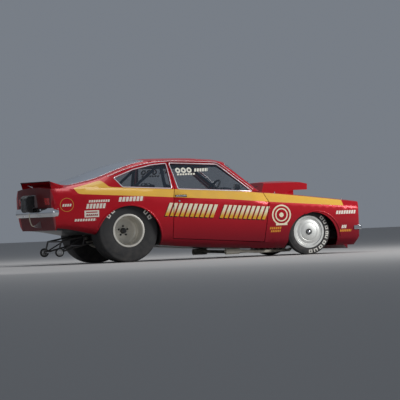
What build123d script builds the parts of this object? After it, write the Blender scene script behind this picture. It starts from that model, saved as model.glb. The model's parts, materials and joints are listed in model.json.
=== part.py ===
from build123d import *

import math
import os

# A stock-bodied drag racing car: a small two-door fastback coupe with a caged cabin and big rear
# slicks. The body is one shell, split along its real shut lines into panels, doors, a hatch and a
# hood. Under it are a live rear axle with a spool, steered front knuckles, a rack and wheelie bars.
#
# Axes: +X is the nose, +Y the driver's left, +Z up, and z = 0 is the ground. While it is modelled,
# x is measured from the rear axle. At the end each piece is shifted so that the origin lies on the
# ground under the middle of the whole car. All sizes are in millimetres.

# Overall sizes
wheelbase = 2464
half_width = 830
roof_height = 1308
front_overhang = 806
rear_overhang = 1015
axle_to_cowl = 564

# Wheels and tyres
rear_tyre_radius = 401
rear_tyre_width = 342
rear_tyre_centre_y = 602
rear_rim_radius = 212
rear_dish_depth = 236
front_tyre_radius = 292
front_tyre_width = 112
front_tyre_centre_y = 680
front_rim_radius = 208
bead_step = 18
lug_circle_radius = 60.3
lug_count = 5

# Panels, gaps and clearances
skin = 14
roof_wall = 26
door_wall = 64
glass_thickness = 6
glass_inset = 5
shut_gap = 8
swing_room = 6
fit = 0.3
arch_clearance = 28
tub_clearance = 30

# Pieces fixed to the body
scoop_half_width = 270
scoop_wall = 8
bumper_wall = 5
front_bumper_height = 50
rear_bumper_height = 112
spoiler_half_width = 570
spoiler_plate = 8
grille_bar = 7
headlamp_radius = 88

# Running gear
axle_tube_radius = 42
axle_shaft_radius = 19
brake_drum_radius = 128
kingpin_y = 572
kingpin_radius = 10
spindle_radius = 17
steer_arm = 130
steer_limit = 28
rack_bar_radius = 11
cage_radius = 21
wheelie_tube_radius = 11
wheelie_wheel_radius = 57
wheelie_wheel_width = 34
wheelie_wheel_y = 305
wheelie_rod_radius = 8
pack_depth = 112
pack_half_width = 150
hinge_barrel_radius = 8
hinge_pin_radius = 4.5
door_hinge_ahead = 44
lid_hinge_ahead = 52
edge_lip = 2
swing_clearance = 5

# Places worked out from the sizes above
front_axle = wheelbase
cowl_x = front_axle - axle_to_cowl
nose_x = front_axle + front_overhang
tail_x = -rear_overhang
belt_line = 950
roof_rise = (roof_height - belt_line) / 358
rear_reach = rear_overhang + 8 + pack_depth
middle_x = (nose_x - rear_reach) / 2


def raised(z):
    """A height above the belt line, moved in step with the roof."""
    return belt_line + (z - belt_line) * roof_rise


# Lower body sections, from tail to nose. x; half-width and height of the floor edge, of the low
# crease, of the shoulder crease and of the belt; and the height of the crown on the centreline.
body_sections = [
    (tail_x, half_width - 178, 438, half_width - 118, 500, half_width - 92, 866, half_width - 165, 960, 986),
    (-450, half_width - 140, 372, half_width - 50, 430, half_width - 24, 858, half_width - 97, 958, 1000),
    (420, half_width - 100, 205, half_width - 30, 285, half_width - 1, 800, half_width - 65, 914, 960),
    (cowl_x - 700, half_width - 95, 138, half_width - 30, 222, half_width, 745, half_width - 65, 862, 910),
    (cowl_x, half_width - 100, 104, half_width - 35, 182, half_width - 4, 688, half_width - 72, 803, 845),
    (front_axle + 136, half_width - 115, 96, half_width - 50, 170, half_width - 22, 632, half_width - 95, 724,
     764),
    (nose_x + 20, half_width - 175, 96, half_width - 112, 170, half_width - 92, 585, half_width - 142, 640,
     672),
]

# Cabin sections, from the tail to the windshield header. x; half-width and height of the belt;
# half-width and height of the roof edge; and the height of the crown.
cabin_sections = [
    (tail_x, half_width - 190, 950, half_width - 226, 968, 988),
    (-780, half_width - 150, 955, half_width - 220, 985, 1004),
    (-500, half_width - 115, 957, half_width - 225, raised(1032), raised(1090)),
    (-235, half_width - 92, 955, half_width - 232, raised(1096), raised(1180)),
    (115, half_width - 75, 935, half_width - 242, raised(1222), raised(1276)),
    (450, half_width - 65, 912, half_width - 248, raised(1272), roof_height),
    (cowl_x - 1050, half_width - 62, 887, half_width - 248, raised(1272), raised(1306)),
    (cowl_x - 750, half_width - 62, 866, half_width - 246, raised(1253), raised(1292)),
    (cowl_x - 554, half_width - 62, 850, half_width - 245, raised(1229), raised(1277)),
]
# The curved windshield: its centre stands further forward than its pillars.
screen_sections = [
    (cowl_x - 370, half_width - 66, 836, half_width - 226, raised(1081), raised(1245)),
    (cowl_x + 72, half_width - 90, 700, half_width - 180, 725, 840),
]


def section_points(x, points):
    """The right and the left points of a section at x, by their names."""
    return (
        {name: Vector(x, side * y, z) for name, (y, z) in points.items()}
        for side in (-1, 1)
    )


def body_section(row, inset):
    """One closed section of the lower body, drawn in by the wall thickness."""
    x, floor_y, floor_z, low_y, low_z, crease_y, crease_z, belt_y, belt_z, crown_z = row
    low = (low_y - inset, low_z + inset / 2)
    crease = (crease_y - inset, crease_z)
    points = {
        "floor": (floor_y - inset, floor_z + inset),
        "low": low,
        "bulge": ((low[0] + crease[0]) / 2 + 12, (low[1] + crease[1]) / 2),
        "crease": crease,
        "belt": (belt_y - inset, belt_z - inset * 0.7),
    }
    right, left = section_points(x, points)
    return Face(
        Wire(
            [
                Line(right["floor"], left["floor"]),
                Line(left["floor"], left["low"]),
                ThreePointArc(left["low"], left["bulge"], left["crease"]),
                Line(left["crease"], left["belt"]),
                ThreePointArc(left["belt"], Vector(x, 0, crown_z - inset), right["belt"]),
                Line(right["belt"], right["crease"]),
                ThreePointArc(right["crease"], right["bulge"], right["low"]),
                Line(right["low"], right["floor"]),
            ]
        )
    )


def cabin_section(row, inset):
    """One closed section of the cabin, with a skirt that reaches down inside the lower body."""
    x, belt_y, belt_z, edge_y, edge_z, crown_z = row
    skirt_depth = 170
    belt = (belt_y - inset, belt_z)
    edge = (edge_y - inset, edge_z - inset)
    points = {
        "skirt": (belt_y - inset, belt_z - skirt_depth),
        "belt": belt,
        "bulge": ((belt[0] + edge[0]) / 2 + 14, (belt[1] + edge[1]) / 2),
        "edge": edge,
    }
    right, left = section_points(x, points)
    return Face(
        Wire(
            [
                Line(right["skirt"], left["skirt"]),
                Line(left["skirt"], left["belt"]),
                ThreePointArc(left["belt"], left["bulge"], left["edge"]),
                ThreePointArc(left["edge"], Vector(x, 0, crown_z - inset), right["edge"]),
                ThreePointArc(right["edge"], right["bulge"], right["belt"]),
                Line(right["belt"], right["skirt"]),
            ]
        )
    )


def cabin_volume(inset):
    """The cabin above the belt: a smooth roof and hatch, and a raked, curved windshield."""
    roof = loft([cabin_section(row, inset) for row in cabin_sections])
    lean = inset * 0.3
    rows = [cabin_sections[-1]] + [(*row[:4], row[4] - lean, row[5] - lean) for row in screen_sections]
    screen = loft([cabin_section(row, inset) for row in rows], ruled=True)
    return roof + screen


def side_prism(points, radius=0, y_from=-1200, y_to=1200):
    """A prism across the car whose side view is the given outline of (x, z) points."""
    at = [Vector(x, y_from, z) for x, z in points]
    outline = FilletPolyline(*at, radius=radius, close=True) if radius else Polyline(*at, close=True)
    return extrude(make_face(outline), amount=y_to - y_from, dir=(0, 1, 0))


def plan_prism(points, radius=0, z_from=-100, z_to=1700):
    """A prism through the car whose plan view is the given outline of (x, y) points."""
    at = [Vector(x, y, z_from) for x, y in points]
    outline = FilletPolyline(*at, radius=radius, close=True) if radius else Polyline(*at, close=True)
    return extrude(make_face(outline), amount=z_to - z_from, dir=(0, 0, 1))


def bowed_plan(rear, front, z_from=-100, z_to=1700):
    """A plan prism between two bowed ends, each given as its edges' x, half-width and middle x."""
    (rear_x, rear_y, rear_middle), (front_x, front_y, front_middle) = rear, front
    corners = {
        (end, side): Vector(x, side * y, z_from)
        for end, x, y in (("rear", rear_x, rear_y), ("front", front_x, front_y))
        for side in (-1, 1)
    }

    def end_line(end, middle, flat, side):
        start, stop = corners[end, side], corners[end, -side]
        return Line(start, stop) if flat else ThreePointArc(start, Vector(middle, 0, z_from), stop)

    outline = Wire(
        [
            end_line("rear", rear_middle, rear_middle == rear_x, -1),
            Line(corners["rear", 1], corners["front", 1]),
            end_line("front", front_middle, front_middle == front_x, 1),
            Line(corners["front", -1], corners["rear", -1]),
        ]
    )
    return extrude(Face(outline), amount=z_to - z_from, dir=(0, 0, 1))


def block(x, y, z):
    """A block between the given ends along each axis."""
    size = [abs(b - a) for a, b in (x, y, z)]
    middle = [(a + b) / 2 for a, b in (x, y, z)]
    return Pos(*middle) * Box(*size)


def grown(points, amount):
    """The same outline, moved out by an amount, as the points of a polygon."""
    count = len(points)
    area = sum(
        points[i][0] * points[(i + 1) % count][1] - points[(i + 1) % count][0] * points[i][1]
        for i in range(count)
    )
    turn = 1 if area > 0 else -1
    moved = []
    for i in range(count):
        before, here, after = (Vector(*points[(i + k) % count], 0) for k in (-1, 0, 1))
        into, out_of = (here - before).normalized(), (after - here).normalized()
        first = Vector(into.Y, -into.X, 0) * turn
        middle = (first + Vector(out_of.Y, -out_of.X, 0) * turn).normalized()
        corner = here + middle * (amount / middle.dot(first))
        moved.append((corner.X, corner.Y))
    return moved


def solids_of(part):
    """The solids of a part, largest first, without crumbs."""
    found = sorted(part.solids(), key=lambda s: -s.volume)
    return [s for s in found if s.volume > 400]


def largest(part):
    """The main solid of a part."""
    return solids_of(part)[0]


def other_side(part):
    """The part's mirror image across the centreline."""
    return mirror(part, about=Plane.XZ)


def both_sides(part):
    """The part and its mirror image across the centreline, as separate solids."""
    return Compound(children=[*solids_of(part), *solids_of(other_side(part))])


def rod(start, end, radius):
    """A straight round bar between two points."""
    start, end = Vector(*start), Vector(*end)
    return extrude(Plane(origin=start, z_dir=end - start) * Circle(radius), amount=(end - start).length)


def cross_rod(x, y_from, y_to, z, radius):
    """A round bar across the car."""
    return rod((x, y_from, z), (x, y_to, z), radius)


def bent_tube(points, radius, bend):
    """A round bar along straight runs that are joined by bends."""
    path = FilletPolyline(*[Vector(*p) for p in points], radius=bend)
    return sweep(Plane(origin=path @ 0, z_dir=path % 0) * Circle(radius), path=path)


def turned(profile, x=0, y=0, z=0):
    """A body of revolution about an axis across the car, from (radius, y) points."""
    return Pos(x, y, z) * revolve(make_face(Polyline(*profile, close=True)), axis=Axis.Y)


# Outlines in side view, as (x, z) points
door_rear_x = 606
door_front_x = cowl_x - 6
door_outline = [
    (door_rear_x - 22, 282),
    (door_rear_x + 4, 806),
    (door_rear_x + 42, 912),
    (door_rear_x + 8 + swing_room, raised(1250)),
    (cowl_x - 618, raised(1213)),
    (cowl_x - 172, 838),
    (cowl_x - 62, 826),
    (door_front_x, 690),
    (cowl_x - 78, 190),
]
door_window_outline = [
    (door_rear_x + 88, 912),
    (door_rear_x + 34, raised(1232)),
    (cowl_x - 624, raised(1195)),
    (cowl_x - 208, 848),
]
quarter_window_outline = [
    (-126, raised(1072)),
    (-46, 963),
    (door_rear_x - 10, 922),
    (door_rear_x - 22, raised(1230)),
    (383, raised(1216)),
    (143, raised(1168)),
    (3, raised(1118)),
]

# Lines where the panels part
hatch_front_x = 420
hatch_rear_x = tail_x + 62
hatch_front_y, hatch_rear_y = half_width - 268, half_width - 238
hood_rear_x = cowl_x + 78
hood_front_x = nose_x - 132
end_bow = 78
hood_rear_y, hood_front_y = half_width - 182, half_width - 190
nose_split_x = hood_front_x + shut_gap
sill_front_x = cowl_x - 85
roof_front_x = cowl_x - 62
floor_half_width = half_width - 140
sill_inner_y = half_width - 260
tail_split_x = tail_x + 90
tail_half_width = half_width - 172
pan_split_z = 600
valance_split_z = 384
pillar_foot_z = 800

# Wheel openings and tubs
rear_arch_radius = rear_tyre_radius + arch_clearance
rear_arch_z = rear_tyre_radius - 114
front_arch_radius = front_tyre_radius + 52
front_arch_x = front_axle + 36
front_arch_z = front_tyre_radius - 94
tub_radius = rear_tyre_radius + tub_clearance
tub_inner_y = rear_tyre_centre_y - rear_tyre_width / 2 - tub_clearance


def rear_arch():
    """The rear wheel opening: a round top with straight sides down to the sill."""
    top = cross_rod(0, -1200, 1200, rear_arch_z, rear_arch_radius)
    legs = block((-rear_arch_radius, rear_arch_radius), (-1200, 1200), (rear_arch_z - 500, rear_arch_z))
    return top + legs


def front_arch():
    """The front wheel opening, whose rear edge slopes back to the sill."""
    top = cross_rod(front_arch_x, -1200, 1200, front_arch_z, front_arch_radius)
    rear, front = front_arch_x - front_arch_radius, front_arch_x + front_arch_radius
    legs = side_prism([(rear, front_arch_z), (rear - 92, -60), (front, -60), (front, front_arch_z)])
    return top + legs


def end_cutter(inset):
    """What lies between nose and tail, which are bowed in plan and profiled from the side."""
    nose_bow, tail_bow = 2600, 8000
    front, rear = nose_x - 4 - inset, tail_x + inset
    nose = Pos(front - nose_bow, 0, 700) * Cylinder(nose_bow, 2000)
    tail = Pos(rear + tail_bow, 0, 700) * Cylinder(tail_bow, 2000)
    profile = side_prism(
        [
            (rear, 1700), (rear, 972), (rear + 74, 432), (rear + 108, -100),
            (front - 170, -100), (front - 170, 90), (front - 70, 292), (front - 8, 480),
            (front, 565), (front - 26, 640), (front - 60, 1700),
        ]
    )
    return nose & tail & profile


def body_volume(inset, cabin_inset):
    """The whole body as a solid, drawn in by the lower and the upper wall thickness."""
    lower = loft([body_section(row, inset) for row in body_sections]) & end_cutter(inset)
    return lower + (cabin_volume(cabin_inset) & end_cutter(cabin_inset))


def glass_band():
    """The thin layer of the cabin's surface in which every pane lies."""
    deep = glass_inset + glass_thickness
    outside = cabin_volume(glass_inset) & end_cutter(glass_inset)
    return outside - (cabin_volume(deep) & end_cutter(deep))


outer_body = body_volume(0, 0)
inner_body = body_volume(skin, roof_wall)
thick_inner_body = body_volume(door_wall, roof_wall)
skin_shell = outer_body - inner_body
right_half = block((-1300, 3400), (-1200, 0), (-100, 1700))
right_skin = skin_shell & right_half
right_door_shell = (outer_body - thick_inner_body) & right_half
glass_layer = glass_band()

door_opening_outline = grown(door_outline, shut_gap)
top_rear = door_outline.index(max(door_outline, key=lambda point: point[1]))
top_x, top_z = door_opening_outline[top_rear]
door_opening_outline[top_rear] = (top_x - swing_room, top_z)
door_opening = side_prism(door_opening_outline, 14)
quarter_window = side_prism(quarter_window_outline, 14)


def hood_prism(gap=0):
    """The hood's outline in plan, widened by the gap around it."""
    return bowed_plan(
        (hood_rear_x - end_bow - gap, hood_rear_y + gap, hood_rear_x - gap),
        (hood_front_x - end_bow + gap, hood_front_y + gap, hood_front_x + gap),
        z_from=500,
    )


def hatch_prism(gap=0, rear_gap=0):
    """The hatch's outline in plan, widened by the gap around it."""
    points = [
        (hatch_front_x + gap, -hatch_front_y - gap),
        (hatch_front_x + gap, hatch_front_y + gap),
        (hatch_rear_x - rear_gap, hatch_rear_y + gap),
        (hatch_rear_x - rear_gap, -hatch_rear_y - gap),
    ]
    return plan_prism(points, 24, z_from=900)


hatch_opening = hatch_prism(shut_gap, shut_gap + swing_room)
hood_opening = hood_prism(shut_gap)
windshield_opening = bowed_plan(
    (cowl_x - 500, half_width - 285, cowl_x - 352),
    (cowl_x - 70, half_width - 228, cowl_x + 50),
    z_from=pillar_foot_z,
)
hatch_window = plan_prism([(345, -500), (345, 500), (-705, 528), (-705, -528)], 50, z_from=900)

# Hinge axes, and one strap hinge's sizes
door_hinge_x, door_hinge_y = door_front_x + door_hinge_ahead, half_width - 38
door_hinge_heights = (578, 652)
hood_hinge_x, hood_hinge_y, hood_hinge_z = hood_front_x + lid_hinge_ahead, 200, 655
hatch_hinge_x, hatch_hinge_y, hatch_hinge_z = hatch_front_x + lid_hinge_ahead, 220, roof_height - 42
barrel_length = 40
ear_thickness = 8
strap_thickness = 7
ear_offset = barrel_length / 2 + fit + ear_thickness / 2


def hinge_strap(reach, inside, pad_length):
    """The swinging half of a hinge, with its pin along Z, its panel towards -X and inside at +Y."""
    half = barrel_length / 2
    deep = inside + strap_thickness
    leg = block((-6, 6), (0, deep), (-half, half))
    run = block((-reach, 6), (inside, deep), (-half, half))
    pad = block((-reach - pad_length, -reach), (-40, deep), (-half, half))
    return Cylinder(hinge_barrel_radius, barrel_length) + leg + run + pad - Cylinder(
        hinge_pin_radius + fit, barrel_length + 2
    )


def hinge_ears(ahead):
    """The fixed half of a hinge: a pin between two ears that reach ahead."""
    part = Cylinder(hinge_pin_radius, barrel_length + 2 * ear_thickness + 2 * fit)
    for side in (-1, 1):
        ear = Cylinder(hinge_barrel_radius, ear_thickness) + block(
            (0, ahead), (-8, 8), (-ear_thickness / 2, ear_thickness / 2)
        )
        part = part + Pos(0, 0, side * ear_offset) * ear
    return part


def swing_relief(ahead, depth):
    """The radius about a hinge axis that a panel keeps clear of, so as to pass its neighbour's edge."""
    return math.hypot(ahead - shut_gap, depth) + swing_clearance


def lid_relief(x, z, depth, wall):
    """What is cut from the front edge of a lid under its lip, so that the lid can tip forward."""
    swept = cross_rod(x, -700, 700, z, swing_relief(lid_hinge_ahead, depth))
    return swept & (Pos(0, 0, wall - edge_lip) * inner_body)


def nose_zone():
    """What lies ahead of the seam between fenders, hood and nose."""
    edge_x, seam_y = nose_split_x - end_bow, hood_front_y + shut_gap
    outline = Wire(
        [
            Line((edge_x, -900, -100), (edge_x, -seam_y, -100)),
            ThreePointArc((edge_x, -seam_y, -100), (nose_split_x, 0, -100), (edge_x, seam_y, -100)),
            Line((edge_x, seam_y, -100), (edge_x, 900, -100)),
            Line((edge_x, 900, -100), (3600, 900, -100)),
            Line((3600, 900, -100), (3600, -900, -100)),
            Line((3600, -900, -100), (edge_x, -900, -100)),
        ]
    )
    return extrude(Face(outline), amount=1800, dir=(0, 0, 1))


def roof_zone():
    """Where the roof panel and its windshield pillars lie."""
    ahead = side_prism(
        [
            (door_rear_x - 8, 1700), (door_rear_x - 8, 890),
            (roof_front_x, pillar_foot_z + 2), (roof_front_x, 1700),
        ]
    )
    side_y = hatch_front_y - 3
    return ahead + block((hatch_front_x + shut_gap, door_rear_x), (-side_y, side_y), (raised(1180), 1700))


def tail_zone():
    """Where the tail panel and the pan below it lie."""
    return block((tail_x - 50, tail_split_x), (-tail_half_width, tail_half_width), (300, 1200))


def floor_zone():
    """Where the body's underside belongs to the floor."""
    return block((tail_split_x, front_axle - 364), (-floor_half_width, floor_half_width), (-100, 480))


def valance_zone():
    """Where the lower nose and the belly behind it lie."""
    belly = block((front_axle + 200, nose_x + 50), (-floor_half_width, floor_half_width), (-100, 300))
    return (nose_zone() + belly) & block((1900, 3600), (-1000, 1000), (-100, valance_split_z))


def cowl_zone():
    """Where the strip between windshield and hood lies."""
    side_y = hood_rear_y + shut_gap
    return block((roof_front_x, hood_rear_x + 40), (-side_y, side_y), (700, 1100))


def door_panel():
    """The right door: outer skin, inner wall and window frame, with its two hinge straps."""
    window = side_prism(door_window_outline, 12, -1200, -200)
    panel = (right_door_shell & side_prism(door_outline, 12, -1200, -200)) - window
    setback = 14
    front_edge = [
        (door_front_x - setback, 840), (door_front_x - setback, 690), (cowl_x - 78 - setback, 190),
        (cowl_x - 78 - setback, 100), (cowl_x + 50, 100), (cowl_x + 50, 840),
    ]
    under_lip = side_prism(front_edge, 0, -1200, -200) & (Pos(0, edge_lip - skin, 0) * inner_body)
    panel = largest(panel - under_lip)
    ahead_of_panel = block((door_front_x + 6, 2100), (-900, -700), (400, 900))
    for height in door_hinge_heights:
        strap = Pos(door_hinge_x, -door_hinge_y, height) * hinge_strap(74, 46, 34)
        panel = panel + (strap & (thick_inner_body + (inner_body & ahead_of_panel)))
    return largest(panel)


def door_frame():
    """The right door's inner frame: hinge pillar, sill and rear pillar, with the fixed ears."""
    layer = (inner_body - thick_inner_body) & block((-1300, 3400), (-1200, -sill_inner_y), (-100, 1700))
    zone = side_prism(
        [
            (tub_radius + 60, pillar_foot_z + 40), (tub_radius + 60, 150), (cowl_x + 60, 60),
            (cowl_x + 60, 770), (roof_front_x, pillar_foot_z),
        ]
    )
    low, high = door_hinge_heights
    hinge_room = block((door_front_x - 40, cowl_x + 48), (-900, -700), (low - 60, high + 44))
    frame = largest((layer & zone) - door_opening - hinge_room)
    for height in door_hinge_heights:
        ears = Pos(door_hinge_x, -door_hinge_y, height) * hinge_ears(cowl_x + 50 - door_hinge_x)
        frame = frame + (ears & inner_body)
    return largest(frame)


def glass_in(opening):
    """A pane of the glass layer that fills an opening."""
    return largest(glass_layer & opening)


def body_side():
    """The right body side behind the door: quarter panel, rear pillar, wheel opening and sill."""
    panel = right_skin & block((-1300, sill_front_x), (-1200, 0), (-100, 1700))
    panel = panel - door_opening - quarter_window - rear_arch() - hatch_opening
    return largest(panel - roof_zone() - tail_zone() - floor_zone())


def fender():
    """The right front fender, from the door to the nose."""
    zone = block((sill_front_x, nose_split_x), (-1200, -400), (-100, 790)) + block(
        (roof_front_x, nose_split_x), (-1200, -400), (780, 1000)
    )
    panel = (right_skin & zone) - door_opening - front_arch() - hood_opening - cowl_zone()
    return largest(panel - floor_zone() - nose_zone() - valance_zone() - roof_zone())


def roof_panel():
    """The roof skin with both windshield pillars and the fixed ears of the hatch hinges."""
    panel = largest((skin_shell & roof_zone()) - door_opening - windshield_opening)
    for side in (-1, 1):
        ears = hinge_ears(20)
        for offset in (-ear_offset, ear_offset):
            ears = ears + block((-8, 20), (-60, 0), (offset - ear_thickness / 2, offset + ear_thickness / 2))
        placed = Pos(hatch_hinge_x, side * hatch_hinge_y, hatch_hinge_z) * Rot(-90, 0, 0) * ears
        panel = panel + (placed & inner_body)
    return largest(panel)


def cowl_panel():
    """The strip between the windshield and the hood."""
    return largest((skin_shell & cowl_zone()) - windshield_opening - hood_opening - door_opening)


def hood():
    """The hood skin, open under the scoop, with its two hinge straps."""
    mouth = plan_prism([(2150, -150), (2150, 150), (2420, 150), (2420, -150)], 30, z_from=600)
    relief = lid_relief(hood_hinge_x, hood_hinge_z, 40, skin)
    panel = largest((skin_shell & hood_prism()) - mouth - relief)
    for side in (-1, 1):
        strap = hinge_strap(70, 44, 40)
        placed = Pos(hood_hinge_x, side * hood_hinge_y, hood_hinge_z) * Rot(-90, 0, 0) * strap
        panel = panel + (placed & inner_body)
    return largest(panel)


def hood_scoop():
    """The tall scoop on the hood: a hollow, forward-facing mouth with an overhanging lip."""
    rear, lip, neck = cowl_x + 85, cowl_x + 753, cowl_x + 555

    def body(inset):
        profile = [
            (rear + inset, 700), (cowl_x + 164 + inset, 1000), (lip + inset * 2, 1000),
            (lip - 7 + inset * 2, 838 + inset), (neck - inset, 838 + inset), (neck - inset, 700),
        ]
        return side_prism(profile, 0, -scoop_half_width + inset, scoop_half_width - inset)

    def crown(drop):
        """A long barrel-shaped top, highest near the rear, that also falls away to the sides."""
        ridge = [(rear - 60, 925), (cowl_x + 270, 958), (lip + 60, 896)]
        line = ThreePointArc(*[Vector(x, -400, z - drop) for x, z in ridge])
        down = [Vector(ridge[-1][0], -400, 600), Vector(ridge[0][0], -400, 600)]
        outline = Wire([line, Line(line @ 1, down[0]), Line(down[0], down[1]), Line(down[1], line @ 0)])
        long = extrude(Face(outline), amount=800, dir=(0, 1, 0))
        return long & (Pos(2300, 0, 960 - 1500 - drop) * Rot(0, 90, 0) * Cylinder(1500, 1200))

    shell = (body(0) & crown(0)) - (body(scoop_wall) & crown(scoop_wall))
    return largest(shell - outer_body)


def hatch():
    """The hatch skin around its glass, with its two hinge straps."""
    relief = lid_relief(hatch_hinge_x, hatch_hinge_z, 40, roof_wall)
    panel = largest((skin_shell & hatch_prism()) - hatch_window - relief)
    for side in (-1, 1):
        strap = hinge_strap(74, 40, 34)
        placed = Pos(hatch_hinge_x, side * hatch_hinge_y, hatch_hinge_z) * Rot(-90, 0, 0) * strap
        panel = panel + (placed & inner_body)
    return largest(panel)


def rear_spoiler():
    """The kick-up plate across the hatch's rear edge, between two end fins."""
    top = 1066
    plate = side_prism(
        [
            (-780, 960), (-780, 1000), (tail_x + 42, top),
            (tail_x + 40, top - spoiler_plate), (-812, 1002), (-812, 960),
        ],
        0, -spoiler_half_width, spoiler_half_width,
    )
    fin = side_prism(
        [(-791, 940), (-791, 984), (tail_x + 40, top + 2), (tail_x + 76, 940)],
        0, spoiler_half_width, spoiler_half_width + 9,
    )
    return largest(plate + fin + other_side(fin) - outer_body)


def lamp_pockets():
    """Where the two tail lamps sit."""
    lamp = block((tail_x - 30, tail_split_x - 4), (-(half_width - 215), -430), (768, 852))
    return lamp + other_side(lamp)


def tail_panel():
    """The tail's upper panel, from the pan to the hatch."""
    zone = tail_zone() & block((-1300, 0), (-1000, 1000), (pan_split_z, 1700))
    return largest((skin_shell & zone) - hatch_opening - lamp_pockets())


def rear_pan():
    """The tail's lower panel."""
    zone = tail_zone() & block((-1300, 0), (-1000, 1000), (300, pan_split_z))
    return largest(skin_shell & zone)


def tail_lamps():
    """The two tail lamps, flush with the tail."""
    return Compound(children=solids_of(skin_shell & lamp_pockets())[:2])


headlamp_y, headlamp_z = 512, 530
grille_half_width = 380
grille_low, grille_high = 458, 606


def headlamp_holes():
    """Round holes through the nose for the headlamps."""
    start, end = (nose_split_x - 60, -headlamp_y, headlamp_z), (nose_x + 60, -headlamp_y, headlamp_z)
    hole = rod(start, end, headlamp_radius)
    return hole + other_side(hole)


def grille_opening():
    """The grille's opening between the headlamps."""
    span = (-grille_half_width, grille_half_width)
    return block((nose_x - 90, nose_x + 60), span, (grille_low, grille_high))


def nose_panel():
    """The nose around grille and headlamps, with the fixed ears of the hood hinges."""
    zone = nose_zone() & block((2900, 3600), (-1000, 1000), (valance_split_z, 1200))
    panel = largest((skin_shell & zone) - headlamp_holes() - grille_opening())
    for side in (-1, 1):
        ears = Rot(-90, 0, 0) * hinge_ears(70)
        panel = panel + (Pos(hood_hinge_x, side * hood_hinge_y, hood_hinge_z) * ears & inner_body)
    return largest(panel)


def grille():
    """An egg-crate grille that fills the opening in the nose."""
    face = skin_shell & grille_opening()
    columns, rows = 18, 5
    cell_y = (2 * grille_half_width - grille_bar) / columns
    cell_z = (grille_high - grille_low - grille_bar) / rows
    cells = Sketch() + [
        Pos(-grille_half_width + grille_bar / 2 + (column + 0.5) * cell_y,
            grille_low + grille_bar / 2 + (row + 0.5) * cell_z)
        * Rectangle(cell_y - grille_bar, cell_z - grille_bar)
        for column in range(columns)
        for row in range(rows)
    ]
    plane = Plane(origin=(nose_x - 150, 0, 0), x_dir=(0, 1, 0), z_dir=(1, 0, 0))
    return largest(face - extrude(plane * cells, amount=300))


def headlamps():
    """The two round headlamps."""
    return Compound(children=solids_of(skin_shell & headlamp_holes())[:2])


def front_valance():
    """The panel below the bumper, with the belly behind it and a chin lip."""
    panel = (skin_shell & valance_zone()) - front_arch()
    lip_outer = bowed_plan((2850, half_width - 122, 2850), (3008, half_width - 132, 3105), 60, 130)
    lip_inner = bowed_plan((2700, half_width - 132, 2700), (2998, half_width - 142, 3095), 50, 140)
    slope = side_prism([(2700, -50), (2700, 300), (2812, 239), (3005, 60), (3005, -50)])
    return largest(panel + (lip_outer - lip_inner - slope - outer_body))


def bumper_band(front, side, end_y, wrap, low, height, bow, inset):
    """A solid blade in plan: a bowed front that turns round two corners and runs along the sides."""
    corner = 46
    y = end_y - inset
    middle, edge = front - side * inset, front - side * (bow + inset)
    half = [
        Vector(middle, 0, low),
        Vector(edge, y - corner, low),
        Vector(edge - side * corner * 0.3, y - corner * 0.3, low),
        Vector(edge - side * corner, y, low),
        Vector(edge - side * wrap, y, low),
    ]
    _, shoulder, knuckle_point, side_point, tip = half
    _, shoulder_b, knuckle_b, side_b, tip_b = (Vector(p.X, -p.Y, p.Z) for p in half)
    outline = Wire(
        [
            ThreePointArc(shoulder_b, half[0], shoulder),
            ThreePointArc(shoulder, knuckle_point, side_point),
            Line(side_point, tip),
            Line(tip, tip_b),
            Line(tip_b, side_b),
            ThreePointArc(side_b, knuckle_b, shoulder_b),
        ]
    )
    return extrude(Face(outline), amount=height, dir=(0, 0, 1))


def bumper(front, side, end_y, wrap, low, height, bow):
    """A thin blade bumper with two irons that reach back to the body."""
    outside = bumper_band(front, side, end_y, wrap, low, height, bow, 0)
    inside = Pos(-side * 20, 0, -5) * bumper_band(
        front + side * 20, side, end_y, wrap, low, height + 10, bow, bumper_wall
    )
    inside = inside + bumper_band(front, side, end_y, wrap + 30, low - 5, height + 10, bow, bumper_wall)
    irons = block(
        (front - side * 200, front - side * (bumper_wall - 1)), (-350, -310), (low + 8, low + height - 8)
    )
    irons = irons & bumper_band(front, side, end_y, wrap, low, height, bow, 1)
    return largest((outside - inside) + irons + other_side(irons) - outer_body)


def front_bumper():
    """The front bumper, a slim blade that wraps round to the fenders."""
    return bumper(nose_x, 1, half_width - 55, 120, 300, front_bumper_height, 70)


def rear_bumper():
    """The rear bumper, which wraps round to the quarter panels."""
    return bumper(tail_x - 26, -1, half_width - 72, 90, 612, rear_bumper_height, 34)


tunnel_half_width, tunnel_top = 150, 490
hump_top, hump_rear_x, hump_front_x = 640, -300, 240
sheet = 12
firewall_x = cowl_x + 62
trunk_floor_z, cabin_floor_z = 372, 205


def axle_hump(thickness):
    """The floor's rise over the axle, as its underside or its top, between the wheel tubs."""
    line = [
        (-rear_arch_radius - 1, 0), (-rear_arch_radius - 1, trunk_floor_z + thickness * 1.5),
        (hump_rear_x - thickness, hump_top + thickness), (hump_front_x + thickness, hump_top + thickness),
        (rear_arch_radius + 1, cabin_floor_z + thickness * 1.2), (rear_arch_radius + 1, 0),
    ]
    return side_prism(line, 0, -tub_inner_y, tub_inner_y)


def wheel_tubs():
    """Both arched tubs over the rear tyres, with their inner walls."""
    def arch(radius, y):
        top = cross_rod(0, -y, y, rear_tyre_radius, radius)
        return top + block((-radius, radius), (-y, y), (0, rear_tyre_radius))

    wall_y = tub_inner_y - sheet
    outside = arch(tub_radius + sheet, 1000) - block((-1000, 1000), (-wall_y, wall_y), (-50, 1200))
    inside = arch(tub_radius, 1100) - block((-1000, 1000), (-tub_inner_y, tub_inner_y), (-50, 1200))
    return (outside - inside) & inner_body


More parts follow.
